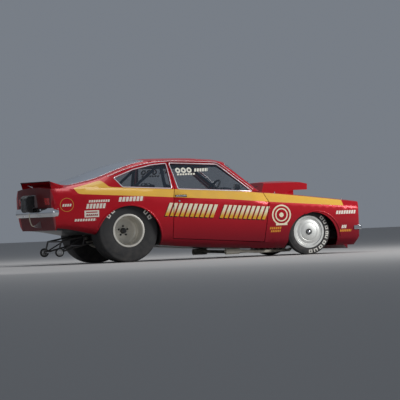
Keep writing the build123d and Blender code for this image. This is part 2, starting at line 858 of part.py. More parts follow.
def floor_pan():
    """The floor with tunnel, firewall, axle hump, trunk floor and both rear wheel tubs."""
    bay = block((firewall_x + 2, front_axle + 220), (-floor_half_width, floor_half_width), (-100, 300))
    slot_y = tunnel_half_width - sheet
    slot = block((rear_arch_radius - 30, firewall_x + 50), (-slot_y, slot_y), (-100, tunnel_top - sheet))
    flat = (skin_shell & floor_zone()) - rear_arch() - front_arch() - bay
    rear_x, rise = rear_arch_radius - 190, 60
    tunnel = side_prism(
        [(rear_x, 100), (rear_x, tunnel_top + rise), (firewall_x, tunnel_top), (firewall_x, 60)],
        0, -tunnel_half_width, tunnel_half_width,
    )
    hollow = side_prism(
        [
            (rear_x - 50, -100), (rear_x - 50, tunnel_top + rise - sheet),
            (firewall_x + 50, tunnel_top - sheet), (firewall_x + 50, -100),
        ],
        0, -slot_y, slot_y,
    )
    hump = axle_hump(skin) - axle_hump(0)
    firewall = block((firewall_x, firewall_x + sheet), (-1000, 1000), (-100, 690)) & inner_body
    firewall = firewall + block((firewall_x, firewall_x + sheet), (-560, 560), (680, 786))
    pan = flat + (hump - axle_hump(0)) + ((tunnel & inner_body) - axle_hump(0)) + firewall
    pan = pan + (wheel_tubs() - axle_hump(0) - block((-2000, -rear_arch_radius), (-1000, 1000), (-100, 360)))
    return largest(pan - hollow - slot)


rail_y, rail_width, rail_low, rail_high = 410, 56, 190, 280
arm_low_z, arm_high_z = 172, 412
rack_x, rack_z = front_axle + steer_arm, 164
tower_top = 560
crossmember_x = (front_axle - 46, front_axle + 46)
rail_span = (-rail_y - rail_width / 2, -rail_y + rail_width / 2)
support_x = nose_split_x - 88


def front_frame():
    """Front rails, crossmember, spring towers and the radiator support."""
    rail = block((firewall_x + sheet, support_x), rail_span, (rail_low, rail_high))
    tower = block((front_axle - 62, front_axle + 62), rail_span, (rail_high - 1, tower_top))
    shelf = block((front_axle - 62, front_axle + 62), (-505, -rail_y), (tower_top - 12, tower_top))
    cross_y = rail_y + 20
    post = block(crossmember_x, (-cross_y, -cross_y + 40), (118, rail_low + 5))
    side = rail + tower + shelf + post
    cross = block(crossmember_x, (-cross_y, cross_y), (118, 178))
    support = block((support_x - 20, support_x), (-640, 640), (240, 590)) - block(
        (support_x - 30, support_x + 10), (-360, 360), (300, 550)
    )
    return largest(side + other_side(side) + cross + (support & inner_body))


def control_arms():
    """Lower and upper wishbones, each ending in the ring of a ball joint."""
    arms = []
    for z, inner_y, spread in ((arm_low_z, rail_y + 20, 34), (arm_high_z, rail_y + rail_width / 2, 50)):
        ring = Pos(front_axle, -kingpin_y, z) * Cylinder(22, 24)
        arm = ring
        for side in (-1, 1):
            foot = (front_axle + side * spread, -inner_y - 9, z - 6)
            arm = arm + rod(foot, (front_axle + side * 10, -kingpin_y + 8, z), 9)
            eye = [(foot[0] + end, foot[1], foot[2]) for end in (-12, 12)]
            arm = arm + rod(*eye, 9)
        arms.append(largest(arm - Pos(front_axle, -kingpin_y, z) * Cylinder(kingpin_radius + fit, 40)))
    return Compound(children=[*arms, *[largest(other_side(arm)) for arm in arms]])


def knuckle():
    """The right front upright, with its kingpin studs, spindle and steering arm."""
    low, high = arm_low_z + 12 + fit, arm_high_z - 12 - fit
    arm_x, arm_z, pin_radius = front_axle + steer_arm, rack_z + 28, 7
    post = block((front_axle - 20, front_axle + 20), (-kingpin_y - 20, -kingpin_y + 20), (low, high))
    post = fillet(post.edges().filter_by(Axis.Z), 8)
    stud = rod((front_axle, -kingpin_y, low - 24), (front_axle, -kingpin_y, high + 24), kingpin_radius)
    boss = cross_rod(front_axle, -kingpin_y, -kingpin_y - 34, front_tyre_radius, 32)
    spindle = cross_rod(front_axle, -kingpin_y, -front_tyre_centre_y - 40, front_tyre_radius, spindle_radius)
    arm = block((front_axle, arm_x), (-kingpin_y - 13, -kingpin_y + 13), (arm_z - 7, arm_z + 7))
    arm = arm + Pos(arm_x, -kingpin_y, arm_z) * Cylinder(15, 14)
    pin = rod((arm_x, -kingpin_y, rack_z - 9), (arm_x, -kingpin_y, arm_z), pin_radius)
    return largest(post + stud + boss + spindle + arm + pin)


arm_drift = steer_arm * (1 - math.cos(math.radians(steer_limit)))


def tie_rod():
    """The rack bar and tie rods, whose slotted ends take the pins of the steering arms."""
    bar = cross_rod(rack_x, -kingpin_y + 18, kingpin_y - 18, rack_z, rack_bar_radius)
    end = block(
        (rack_x - arm_drift - 24, rack_x + 24), (-kingpin_y - 22, -kingpin_y + 24), (rack_z - 4, rack_z + 5)
    )
    slot = block(
        (rack_x - arm_drift - 10, rack_x + 10), (-kingpin_y - 11, -kingpin_y + 11), (rack_z - 8, rack_z + 10)
    )
    end = end - slot
    return largest(bar + end + other_side(end))


def steering_rack():
    """The rack's housing on two brackets from the crossmember."""
    tube = cross_rod(rack_x, -240, 240, rack_z, 27)
    for y in (-200, 200):
        tube = tube + block((crossmember_x[1], rack_x), (y - 12, y + 12), (140, 178))
        tube = tube + block((rack_x - 14, rack_x + 14), (y - 12, y + 12), (140, rack_z))
    return largest(tube - cross_rod(rack_x, -260, 260, rack_z, rack_bar_radius + fit))


def front_rim():
    """The right front wheel: a spun barrel with a flush face, a hub and a brake disc."""
    half, seat, flange = front_tyre_width / 2 - 4, front_rim_radius - bead_step, front_rim_radius
    face = -half
    profile = [
        (seat - 8, half + 2), (flange, half + 2), (flange, half), (seat, half), (seat, face), (flange, face),
        (flange, face - 3), (seat - 8, face - 3), (seat - 34, face + 6), (110, face + 1), (62, face - 4),
        (52, face - 11), (34, face - 16), (0, face - 16), (0, face - 7), (spindle_radius + fit, face - 7),
        (spindle_radius + fit, half - 8), (44, half - 8), (48, half - 30), (146, half - 30),
        (146, half - 42), (52, half - 42), (56, face + 10), (110, face + 10), (seat - 34, face + 15),
        (seat - 8, face + 8),
    ]
    return turned(profile, front_axle, -front_tyre_centre_y, front_tyre_radius)


def tyre(radius, width, rim_radius, shoulder, centre_y, x):
    """A tyre as one ring, seated between the flanges of its rim, with rounded walls."""
    seat, half = rim_radius - bead_step, width / 2 - 4
    wall_y, tread_y = width / 2, width / 2 - 6
    bulge = ((rim_radius + radius - shoulder) / 2, wall_y)
    turn = (radius - shoulder * 0.25, tread_y - shoulder * 0.25)

    def side(sign):
        return [
            Vector(r, sign * y)
            for r, y in (
                (seat, half), (rim_radius + 2, half), bulge, (radius - shoulder, tread_y), turn,
                (radius, tread_y - shoulder),
            )
        ]

    near, far = side(-1), side(1)
    outline = Wire(
        [
            Line(near[0], near[1]),
            ThreePointArc(near[1], near[2], near[3]),
            ThreePointArc(near[3], near[4], near[5]),
            Line(near[5], far[5]),
            ThreePointArc(far[5], far[4], far[3]),
            ThreePointArc(far[3], far[2], far[1]),
            Line(far[1], far[0]),
            Line(far[0], near[0]),
        ]
    )
    return Pos(x, -centre_y, radius) * revolve(Face(outline), axis=Axis.Y)


def front_tyre():
    """The right front tyre."""
    return tyre(front_tyre_radius, front_tyre_width, front_rim_radius, 14, front_tyre_centre_y, front_axle)


def rear_tyres():
    """The two rear slicks."""
    return both_sides(tyre(rear_tyre_radius, rear_tyre_width, rear_rim_radius, 26, rear_tyre_centre_y, 0))


rear_half = rear_tyre_width / 2 - 4
hub_y = rear_tyre_centre_y + rear_half - rear_dish_depth
lug_places = [
    (lug_circle_radius * math.cos(turn), rear_tyre_radius + lug_circle_radius * math.sin(turn))
    for turn in (math.radians(90 + lug * 360 / lug_count) for lug in range(lug_count))
]


def rear_rims():
    """The two deep-dish rear wheels, each with a ring of lug holes and a centre bore."""
    seat, flange = rear_rim_radius - bead_step, rear_rim_radius
    half, face = rear_half, rear_dish_depth - rear_half
    profile = [
        (seat - 7, half + 3), (flange, half + 3), (flange, half), (seat, half), (seat, -half),
        (flange, -half), (flange, -half - 4), (seat - 7, -half - 4), (seat - 9, -half + 20),
        (seat - 9, face - 34), (seat - 24, face - 12),
        (150, face - 4), (96, face - 14), (36, face - 14), (36, face),
        (brake_drum_radius + 6, face), (150, face + 6), (seat - 22, face), (seat - 9, face - 14),
    ]
    rim = turned(profile, 0, -rear_tyre_centre_y, rear_tyre_radius)
    for x, z in lug_places:
        rim = rim - cross_rod(x, -hub_y - 60, -hub_y + 60, z, 8)
    return both_sides(largest(rim))


def axle_shafts():
    """The solid spool shaft, with a brake drum and hub nose at each end."""
    shaft = cross_rod(0, -hub_y, hub_y, rear_tyre_radius, axle_shaft_radius)
    end = turned(
        [
            (0, -hub_y - 50), (26, -hub_y - 50), (36 - fit, -hub_y - 38), (36 - fit, -hub_y),
            (brake_drum_radius - 6, -hub_y), (brake_drum_radius, -hub_y + 8),
            (brake_drum_radius, -hub_y + 62), (brake_drum_radius - 8, -hub_y + 62),
            (brake_drum_radius - 10, -hub_y + 12), (axle_shaft_radius, -hub_y + 12), (0, -hub_y + 12),
        ],
        0, 0, rear_tyre_radius,
    )
    for x, z in lug_places:
        end = end + cross_rod(x, -hub_y - 30, -hub_y + 2, z, 8 - fit)
    return largest(shaft + end + other_side(end))


def axle_housing():
    """The live axle's housing: tubes, centre section, pinion nose and brake backing plates."""
    plate_y = hub_y - 66
    bore = axle_shaft_radius + fit
    side = turned(
        [
            (bore, 0), (126, 0), (122, -40), (96, -82), (62, -104), (axle_tube_radius, -120),
            (axle_tube_radius, -plate_y + 12), (brake_drum_radius - 12, -plate_y + 4),
            (brake_drum_radius - 12, -plate_y), (bore, -plate_y),
        ],
        0, 0, rear_tyre_radius,
    )
    pinion = rod((60, 0, rear_tyre_radius), (205, 0, rear_tyre_radius), 52)
    return largest(side + other_side(side) + pinion - cross_rod(0, -700, 700, rear_tyre_radius, bore))


crossbar_x, crossbar_z = 385, 235
ladder_y, eye_half = 330, 15


def rear_suspension():
    """Ladder bars from the housing to a crossbar, and two coil-over shocks."""
    y = ladder_y
    tube = cross_rod(0, -500, -100, rear_tyre_radius, axle_tube_radius)
    low, high = rear_tyre_radius - 80, rear_tyre_radius + 56
    front = (crossbar_x, -y, crossbar_z)
    ladder = rod((0, -y, low), front, 14) + rod((0, -y, high), front, 14)
    ladder = ladder + block((-24, 24), (-y - 8, -y + 8), (low - 16, high + 16))
    brace_x = crossbar_x / 2
    ladder = ladder + rod((brace_x, -y, (low + crossbar_z) / 2), (brace_x, -y, (high + crossbar_z) / 2), 10)
    ladder = ladder + cross_rod(crossbar_x, -y - eye_half, -y + eye_half, crossbar_z, 26)
    shock_y, foot_x = 200, -84
    shock = rod((foot_x, -shock_y, rear_tyre_radius), (foot_x - 10, -shock_y, hump_top - 1.2), 20)
    shock = shock + rod((foot_x, -shock_y, rear_tyre_radius + 60), (foot_x - 8, -shock_y, hump_top - 30), 36)
    foot = block((foot_x, 0), (-shock_y - 14, -shock_y + 14), (rear_tyre_radius - 20, rear_tyre_radius + 20))
    return both_sides(Compound(children=[largest(ladder - tube), largest(shock + foot - tube)]))


def rear_crossbar():
    """The bar under the hump that carries the front ends of the ladder bars."""
    bar_y = ladder_y - eye_half - fit
    bar = cross_rod(crossbar_x, -bar_y, bar_y, crossbar_z, 18)
    hangers = block((crossbar_x - 14, crossbar_x + 14), (-290, -270), (crossbar_z, 400)) & axle_hump(0)
    return largest(bar + hangers + other_side(hangers))


wheelie_axle_x, wheelie_axle_z, wheelie_top_z = -778, 158, 296


def wheelie_bars():
    """A tubular frame behind the axle that carries the small rear wheels."""
    y = wheelie_wheel_y - 38
    front_low, front_high = rear_tyre_radius - 70, rear_tyre_radius + 16
    foot_x = -40
    rear_low = (wheelie_axle_x, -y, wheelie_axle_z)
    rear_high = (wheelie_axle_x + 40, -y, wheelie_top_z)
    side = rod((foot_x, -y, front_low), rear_low, wheelie_tube_radius)
    side = side + rod((foot_x, -y, front_high), rear_high, wheelie_tube_radius)
    side = side + rod(rear_high, rear_low, wheelie_tube_radius)
    part_way = 0.55
    low_point = (
        foot_x + (wheelie_axle_x - foot_x) * part_way, -y, front_low + (wheelie_axle_z - front_low) * part_way
    )
    high_point = (
        foot_x + (rear_high[0] - foot_x) * part_way, -y, front_high + (wheelie_top_z - front_high) * part_way
    )
    side = side + rod(low_point, high_point, 8) + rod(high_point, rear_low, 8)
    side = side + cross_rod(wheelie_axle_x, -y - 13, -y + 13, wheelie_axle_z, 18)
    plate = block((foot_x - 24, foot_x + 20), (-y - 6, -y + 6), (front_low - 14, front_high + 14))
    side = side + plate - cross_rod(0, -500, 500, rear_tyre_radius, axle_tube_radius)
    ties = cross_rod(rear_high[0], -y, y, wheelie_top_z, wheelie_tube_radius)
    ties = ties + cross_rod(low_point[0], -y, y, low_point[2], 9)
    frame = side + other_side(side) + ties
    return largest(frame - cross_rod(wheelie_axle_x, -500, 500, wheelie_axle_z, wheelie_rod_radius + fit))


def wheelie_wheels():
    """The two small wheels, turning together on their rod."""
    half, radius = wheelie_wheel_width / 2, wheelie_wheel_radius
    wheel = turned(
        [
            (0, -half), (22, -half), (26, -8), (38, -8), (42, -half + 2), (radius - 5, -half + 2),
            (radius, -half + 8), (radius, half - 8), (radius - 5, half - 2), (42, half - 2), (38, 8),
            (26, 8), (22, half), (0, half),
        ],
        wheelie_axle_x, -wheelie_wheel_y, wheelie_axle_z,
    )
    bar = cross_rod(wheelie_axle_x, -wheelie_wheel_y, wheelie_wheel_y, wheelie_axle_z, wheelie_rod_radius)
    return largest(bar + wheel + other_side(wheel))


engine_rear_x, engine_front_x = cowl_x + 150, front_axle + 70
shaft_front = (cowl_x - 420, 0, 330)


def engine_block():
    """The engine, bellhousing and gearbox as one plain mass on the crossmember."""
    vee = [
        (95, 178), (110, 260), (175, 300), (265, 450), (215, 520), (120, 500), (90, 560),
    ]
    outline = vee + [(-y, z) for y, z in reversed(vee)]
    face = make_face(Polyline(*[(engine_rear_x, y, z) for y, z in outline], close=True))
    mass = extrude(face, amount=engine_front_x - engine_rear_x, dir=(1, 0, 0))
    intake = block((engine_rear_x + 60, engine_front_x - 120), (-110, 110), (550, 690))
    height = shaft_front[2]
    rings = [
        Plane(origin=(engine_rear_x - back, 0, height), z_dir=(-1, 0, 0)) * Circle(radius)
        for back, radius in ((0, 130), (150, 104))
    ]
    gearbox = rod((engine_rear_x - 149, 0, height), shaft_front, 98)
    return largest(mass + intake + loft(rings) + gearbox)


def exhaust_headers():
    """Four header tubes and an open collector on each side, as one piece a side."""
    y, z = -600, 84
    whole = rod((1360, y, z), (1545, y, z), 40)
    for index in range(4):
        port_x = engine_rear_x + 70 + index * 88
        path = [
            (port_x, -250, 450), (port_x - 6, -350, 400), (port_x - 30, -345, 66),
            (cowl_x - 70 + index * 22, -560, 64), (1530, y + (index - 1.5) * 18, z),
        ]
        whole = whole + bent_tube(path, 19, 40)
    bore = rod((1350, y, z), (1500, y, z), 35)
    return both_sides(largest(whole - bore - outer_body - engine_block()))


def driveshaft():
    """The shaft from the gearbox to the axle's pinion nose."""
    start = (205, 0, rear_tyre_radius)
    shaft = rod(start, shaft_front, 36) + rod(start, (240, 0, rear_tyre_radius - 2), 48)
    shaft = shaft - block((0, start[0]), (-80, 80), (200, 600))
    return largest(shaft - rod(shaft_front, (cowl_x, 0, shaft_front[2]), 98))


def dash_bar():
    """The cage's bar behind the dash."""
    return cross_rod(cowl_x - 100, -560, 560, 800, 14)


def roll_cage():
    """A main hoop, two side hoops along the roof and pillars, door bars and rear braces."""
    hoop_x, hoop_z, foot_y, belt_y, knee_y = 560, roof_height - 94, 655, 672, 545
    half = [(hoop_x, -foot_y, 150), (hoop_x, -belt_y, 860), (hoop_x, -500, hoop_z)]
    hoop = bent_tube(half + [(x, -y, z) for x, y, z in reversed(half)], cage_radius, 90)
    side = bent_tube(
        [
            (hoop_x, -470, hoop_z - 4), (1330, -480, hoop_z - 26), (cowl_x - 120, -knee_y, 850),
            (cowl_x - 30, -knee_y - 30, 90),
        ],
        cage_radius, 110,
    )
    bars = side + rod((hoop_x, -belt_y + 10, 960), (cowl_x - 60, -knee_y - 18, 420), 18)
    bars = bars + rod((hoop_x, -foot_y - 4, 420), (cowl_x - 60, -knee_y - 18, 420), 18)
    bars = bars + rod((hoop_x, -400, hoop_z - 4), (-330, -325, 500), 18)
    cage = hoop + bars + other_side(bars) + cross_rod(hoop_x, -belt_y, belt_y, 640, 18)
    cage = cage + dash_bar()
    return largest((cage - axle_hump(skin)) & thick_inner_body)


steering_wheel_centre = (cowl_x - 340, 350, 880)
steering_wheel_radius = 158
column_foot = (firewall_x, 350, 545)
column_radius = 20


def column():
    """The steering column, from behind the wheel to the firewall."""
    whole = rod(steering_wheel_centre, column_foot, column_radius)
    return whole & block((steering_wheel_centre[0] + 14, firewall_x), (0, 700), (400, 1200))


def dashboard():
    """The dash across the cabin, with a hooded cluster ahead of the driver."""
    profile = [
        (cowl_x - 215, 858), (cowl_x - 110, 832), (cowl_x - 40, 800), (cowl_x + 20, 780), (cowl_x + 20, 756),
        (cowl_x - 120, 740), (cowl_x - 205, 752), (cowl_x - 225, 800),
    ]
    cluster = side_prism(
        [(cowl_x - 222, 850), (cowl_x - 212, 908), (cowl_x - 120, 896), (cowl_x - 106, 828)], 0, 215, 485
    )
    opening = rod(steering_wheel_centre, column_foot, column_radius + fit)
    return largest(side_prism(profile, 0, -505, 505) + cluster - dash_bar() - opening)


def steering_wheel():
    """The steering wheel and its column, down to the firewall."""
    centre = Vector(*steering_wheel_centre)
    along = (Vector(*column_foot) - centre).normalized()
    plane = Plane(origin=centre, z_dir=along * -1)
    wheel = plane * Torus(steering_wheel_radius, 13)
    wheel = wheel + extrude(Plane(origin=centre + along * 40, z_dir=along * -1) * Circle(38), amount=36)
    for turn in (90, 210, 330):
        spoke = Pos(steering_wheel_radius / 2, 0, -8) * Box(steering_wheel_radius, 26, 6)
        wheel = wheel + plane * Rot(0, 0, turn) * spoke
    return largest(wheel + column())


seat_y, seat_half_width = 376, 212
seat_hollow = [
    (1400, 600), (1400, 330), (1150, 300), (850, 282), (756, 300), (654, 820), (668, 1100), (1100, 1100),
]


def driver_seat():
    """A moulded bucket seat with raised sides, on a floor bracket."""
    outer = side_prism(
        [
            (1160, 400), (1130, 262), (840, 240), (716, 262), (612, 830), (630, 972), (706, 980), (766, 700),
            (880, 470), (1150, 452),
        ],
        18, seat_y - seat_half_width, seat_y + seat_half_width,
    )
    hollow = side_prism(seat_hollow, 18, seat_y - seat_half_width + 24, seat_y + seat_half_width - 24)
    stand = block((800, 1080), (seat_y - 170, seat_y + 170), (100, 262)) - block(
        (780, 1100), (seat_y - 150, seat_y + 150), (90, 238)
    )
    return largest((outer - hollow + stand) & inner_body)


def seat_pad():
    """The soft pad in the bucket: squab and backrest as one plain cushion."""
    half = seat_half_width - 24 - 20
    room = side_prism(grown(seat_hollow, -fit), 18, seat_y - half, seat_y + half)
    face = [
        (1138, 200), (1138, 348), (866, 334), (812, 352), (728, 820), (706, 930), (600, 930), (600, 200),
    ]
    return largest(room & side_prism(face, 8, seat_y - half - 10, seat_y + half + 10))


pack_front_x, pack_top, pack_low, pack_step = tail_x - 8, 900, 668, 736
lug_end_x, lug_y, lug_z = tail_x - 24, -120, 501


def parachute_pack():
    """The parachute pack as one plain soft block, stepped over the bumper."""
    rear = pack_front_x - pack_depth
    profile = [
        (pack_front_x, pack_step), (pack_front_x, pack_top), (rear + 22, pack_top - 4), (rear, 860),
        (rear, 700), (rear + 20, pack_low), (tail_x - 36, pack_low), (tail_x - 36, pack_step),
    ]
    return largest(side_prism(profile, 0, -pack_half_width, pack_half_width))


def parachute_mount():
    """The pack's back plate on the tail, and the tether's lug on the pan below the bumper."""
    plate = block((pack_front_x + fit, tail_x + 60), (-120, 120), (pack_step + 2, pack_top - 2)) - outer_body
    web = [(tail_x - 12, lug_z - 15), (tail_x - 12, lug_z + 15), (tail_x + 100, 596), (tail_x + 100, 470)]
    lug = side_prism(web, 0, lug_y - 4, lug_y + 4)
    lug = lug + block((lug_end_x, tail_x - 8), (lug_y - 12, lug_y + 12), (lug_z - 12, lug_z + 12))
    lug = lug - outer_body - cross_rod(tail_x + 6, -200, 0, lug_z, 7)
    return Compound(children=[largest(plate), largest(lug)])


tether_radius = 6
tether_route = [
    (tail_x - 80, -98, pack_low - fit), (tail_x - 80, -98, 636), (tail_x - 79, -104, 602),
    (tail_x - 75, -111, 566), (tail_x - 66, -117, 531), (lug_end_x - 27, lug_y, lug_z),
    (lug_end_x - fit, lug_y, lug_z),
]


def parachute_tether():
    """The short tether from the pack to its lug, as it hangs."""
    points = [Vector(*p) for p in tether_route]
    radii = []
    for before, here, after in zip(points, points[1:], points[2:]):
        first, second = here - before, after - here
        turn = math.radians(first.get_angle(second))
        radii.append(0.45 * min(first.length, second.length) / math.tan(turn / 2))
    print("tether bend radii", [round(r) for r in radii])
    path = FilletPolyline(*points, radius=radii)
    return sweep(Plane(origin=path @ 0, z_dir=path % 0) * Circle(tether_radius), path=path)


def windshield():
    """The windshield's glass."""
    return glass_in(windshield_opening)


def hatch_glass():
    """The hatch's glass."""
    return glass_in(hatch_window)


def door_glass():
    """The right door's glass."""
    return glass_in(side_prism(door_window_outline, 12, -1200, 0))


def quarter_glass():
    """The right quarter window's glass."""
    return glass_in(side_prism(quarter_window_outline, 14, -1200, 0))


middle_pieces = [
    floor_pan, roof_panel, cowl_panel, nose_panel, grille, front_valance, front_bumper, rear_bumper,
    tail_panel, rear_pan, tail_lamps, headlamps, windshield, hatch, hatch_glass, rear_spoiler, hood,
    hood_scoop, front_frame, control_arms, steering_rack, tie_rod, engine_block, exhaust_headers,
    driveshaft, axle_housing, rear_suspension, rear_crossbar, axle_shafts, rear_rims, rear_tyres,
    wheelie_bars, wheelie_wheels, roll_cage, dashboard, steering_wheel, driver_seat, seat_pad,
    parachute_pack, parachute_mount, parachute_tether,
]
right_pieces = [
    body_side, door_frame, fender, door_panel, door_glass, quarter_glass, knuckle, front_rim, front_tyre,
]

os.makedirs("parts", exist_ok=True)
to_middle = Pos(-middle_x, 0, 0)
for piece in middle_pieces:
    export_step(to_middle * piece(), f"parts/{piece.__name__}.step")
for piece in right_pieces:
    right = piece()
    export_step(to_middle * right, f"parts/{piece.__name__}_right.step")
    export_step(to_middle * other_side(right), f"parts/{piece.__name__}_left.step")
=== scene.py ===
"""Looks of a stock-bodied drag racing car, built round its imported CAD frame."""

import json
import logging
import math
from dataclasses import dataclass, field
from enum import Enum
from typing import Callable, Iterable, Sequence, Union

import bmesh
import bpy
from mathutils import Matrix, Quaternion, Vector
from mathutils.bvhtree import BVHTree


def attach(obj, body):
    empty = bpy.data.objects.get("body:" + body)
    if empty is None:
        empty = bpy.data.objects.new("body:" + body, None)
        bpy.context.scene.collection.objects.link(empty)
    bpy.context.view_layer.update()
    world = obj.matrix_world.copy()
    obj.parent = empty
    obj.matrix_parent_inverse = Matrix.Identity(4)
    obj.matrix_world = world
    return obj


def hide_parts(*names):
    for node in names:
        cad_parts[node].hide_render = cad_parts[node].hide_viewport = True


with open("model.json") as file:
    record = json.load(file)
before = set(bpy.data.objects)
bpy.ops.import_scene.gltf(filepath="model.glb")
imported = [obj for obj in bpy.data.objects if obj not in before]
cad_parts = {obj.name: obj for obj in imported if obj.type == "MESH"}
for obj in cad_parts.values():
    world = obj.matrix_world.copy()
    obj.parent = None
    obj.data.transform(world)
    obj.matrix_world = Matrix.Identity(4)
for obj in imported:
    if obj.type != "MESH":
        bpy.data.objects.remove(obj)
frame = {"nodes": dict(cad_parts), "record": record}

log = logging.getLogger("drag_car")

# Where the middle of the car and the front axle lie, in metres ahead of the rear axle
MIDDLE_X = 1.0675
WHEELBASE = 2.464

AHEAD, ACROSS, UP = Vector((1.0, 0.0, 0.0)), Vector((0.0, 1.0, 0.0)), Vector((0.0, 0.0, 1.0))

Point = tuple[float, float, float]
Color = tuple[float, float, float]
Flat = tuple[float, float]
Line = tuple[Flat, ...]
Ray = tuple[Vector, Vector]
BMesh = bmesh.types.BMesh
Node, Object, Material = bpy.types.Node, bpy.types.Object, bpy.types.Material
Socket = bpy.types.NodeSocket
Value = Union[Socket, Node, float, tuple]


class Side(Enum):
    """A side of the car, with the sign of its y."""

    RIGHT = -1
    LEFT = 1

    @property
    def word(self) -> str:
        """The side's name as node names have it."""
        return self.name.lower()


BOTH = (Side.RIGHT, Side.LEFT)


def at(x: float, y: float, z: float) -> Vector:
    """A point given from the rear axle, the centreline and the ground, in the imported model's frame."""
    return Vector((x - MIDDLE_X, y, z))


def arc(start: float, stop: float, steps: int) -> list[Flat]:
    """Evenly spaced directions.

    Args:
        start: The first angle, in degrees.
        stop: The last angle.
        steps: The number of steps between them.

    Returns:
        The cosine and the sine of each angle, both ends among them.
    """
    turns = [math.radians(start + (stop - start) * step / steps) for step in range(steps + 1)]
    return [(math.cos(turn), math.sin(turn)) for turn in turns]


def full_turn(steps: int, start: float = 0.0) -> list[Flat]:
    """The cosines and sines of a full turn, without its end."""
    return arc(start, start + 360.0, steps)[:-1]


# Node trees


def opaque(color: Color, share: float = 1.0) -> tuple[float, ...]:
    """A colour times a share, with its alpha."""
    return (*(min(1.0, part * share) for part in color), 1.0)


@dataclass
class Graph:
    """A node tree that is filled in code, with short calls for its common nodes."""

    tree: bpy.types.NodeTree

    def add(self, kind: str, inputs: dict | None = None, **settings: object) -> Node:
        """Adds a node.

        Args:
            kind: The node's class, without its ShaderNode prefix.
            inputs: Values, nodes or output sockets by input name or index.
            settings: Properties of the node.

        Returns:
            The new node.
        """
        node = self.tree.nodes.new("ShaderNode" + kind)
        for name, value in settings.items():
            setattr(node, name, value)
        self.fill(node, inputs or {})
        return node

    def fill(self, node: Node, inputs: dict) -> None:
        """Feeds several inputs of a node, by name or index."""
        for key, value in inputs.items():
            self.feed(node.inputs[key], value)

    def feed(self, socket: Socket, value: Value) -> None:
        """Links an output to an input, or sets the input's own value.

        Args:
            socket: The input.
            value: A socket, a node whose first output is meant, or a plain value.
        """
        if isinstance(value, Node):
            value = value.outputs[0]
        if isinstance(value, Socket):
            self.tree.links.new(value, socket)
        else:
            socket.default_value = value

    def math(self, operation: str, *values: Value) -> Socket:
        """A Math node's result."""
        return self.add("Math", dict(enumerate(values)), operation=operation).outputs[0]

    def plus(self, first: Value, second: Value) -> Socket:
        """The sum of two values."""
        return self.math("ADD", first, second)

    def minus(self, first: Value, second: Value) -> Socket:
        """The difference of two values."""
        return self.math("SUBTRACT", first, second)

    def times(self, product: Value, *others: Value) -> Value:
        """The product of two or more values."""
        for other in others:
            product = self.math("MULTIPLY", product, other)
        return product

    def distance(self, x: Value, z: Value, middle: Flat) -> Socket:
        """The distance from a point of the side view."""
        gaps = self.minus(x, middle[0]), self.minus(z, middle[1])
        return self.math("SQRT", self.plus(*(self.times(gap, gap) for gap in gaps)))

    def ramp(
        self, value: Value, low: Value = 0.0, high: Value = 1.0, first: float = 0.0, last: float = 1.0
    ) -> Socket:
        """A value that runs from first to last while another runs from low to high."""
        return self.add("MapRange", {0: value, 1: low, 2: high, 3: first, 4: last}).outputs[0]

    def step(self, value: Value, edge: Value, soft: float = 0.0006) -> Socket:
        """A mask that is 1 where a value lies above an edge."""
        return self.ramp(self.minus(value, edge), -soft, soft)

    def band(self, value: Value, low: float, high: float) -> Socket:
        """A mask that is 1 where a value lies between two limits."""
        return self.times(self.step(value, low), self.minus(1.0, self.step(value, high)))

    def mix(self, mask: Value, first: Value, second: Value) -> Socket:
        """Two colours mixed by a mask."""
        return self.add("Mix", {0: mask, 6: first, 7: second}, data_type="RGBA").outputs[2]

    def tones(self, mask: Value, color: Color, down: float, up: float = 1.0) -> Socket:
        """A colour that runs from a darker to a lighter tone of itself."""
        return self.mix(mask, opaque(color, down), opaque(color, up))

    def noise(self, place: Value, scale: Value, detail: Value) -> Socket:
        """A noise's value at a place."""
        return self.add("TexNoise", {"Vector": place, "Scale": scale, "Detail": detail}).outputs[0]

    def bump(self, height: Value, strength: float, distance: float) -> Socket:
        """The normal of a surface that a height roughens."""
        return self.add("Bump", {"Height": height, "Strength": strength, "Distance": distance}).outputs[0]

    def group(self, name: str, **inputs: Value) -> Socket:
        """The value of a shared node group with its inputs."""
        node = self.add("Group", node_tree=bpy.data.node_groups[name])
        self.fill(node, inputs)
        return node.outputs[0]

    def where(self) -> tuple[Socket, list[Socket]]:
        """The object coordinate, whole and as its three numbers."""
        place = self.add("TexCoord").outputs["Object"]
        return place, list(self.add("SeparateXYZ", {0: place}).outputs)


def new_group(name: str, build: Callable[..., Socket], **inputs: float | None) -> None:
    """Makes a shader node group with named inputs and one output, its value.

    Args:
        name: The group's name.
        build: What adds its nodes to its graph, from its input sockets, and returns the value.
        inputs: Each input's default, or None for a place.
    """
    tree = bpy.data.node_groups.new(name, "ShaderNodeTree")
    for label, start in inputs.items():
        kind = "NodeSocketVector" if start is None else "NodeSocketFloat"
        socket = tree.interface.new_socket(name=label, in_out="INPUT", socket_type=kind)
        if start is not None:
            socket.default_value = start
    tree.interface.new_socket(name="value", in_out="OUTPUT", socket_type="NodeSocketFloat")
    source, out = tree.nodes.new("NodeGroupInput"), tree.nodes.new("NodeGroupOutput")
    graph = Graph(tree)
    graph.feed(out.inputs[0], build(graph, *source.outputs[: len(inputs)]))


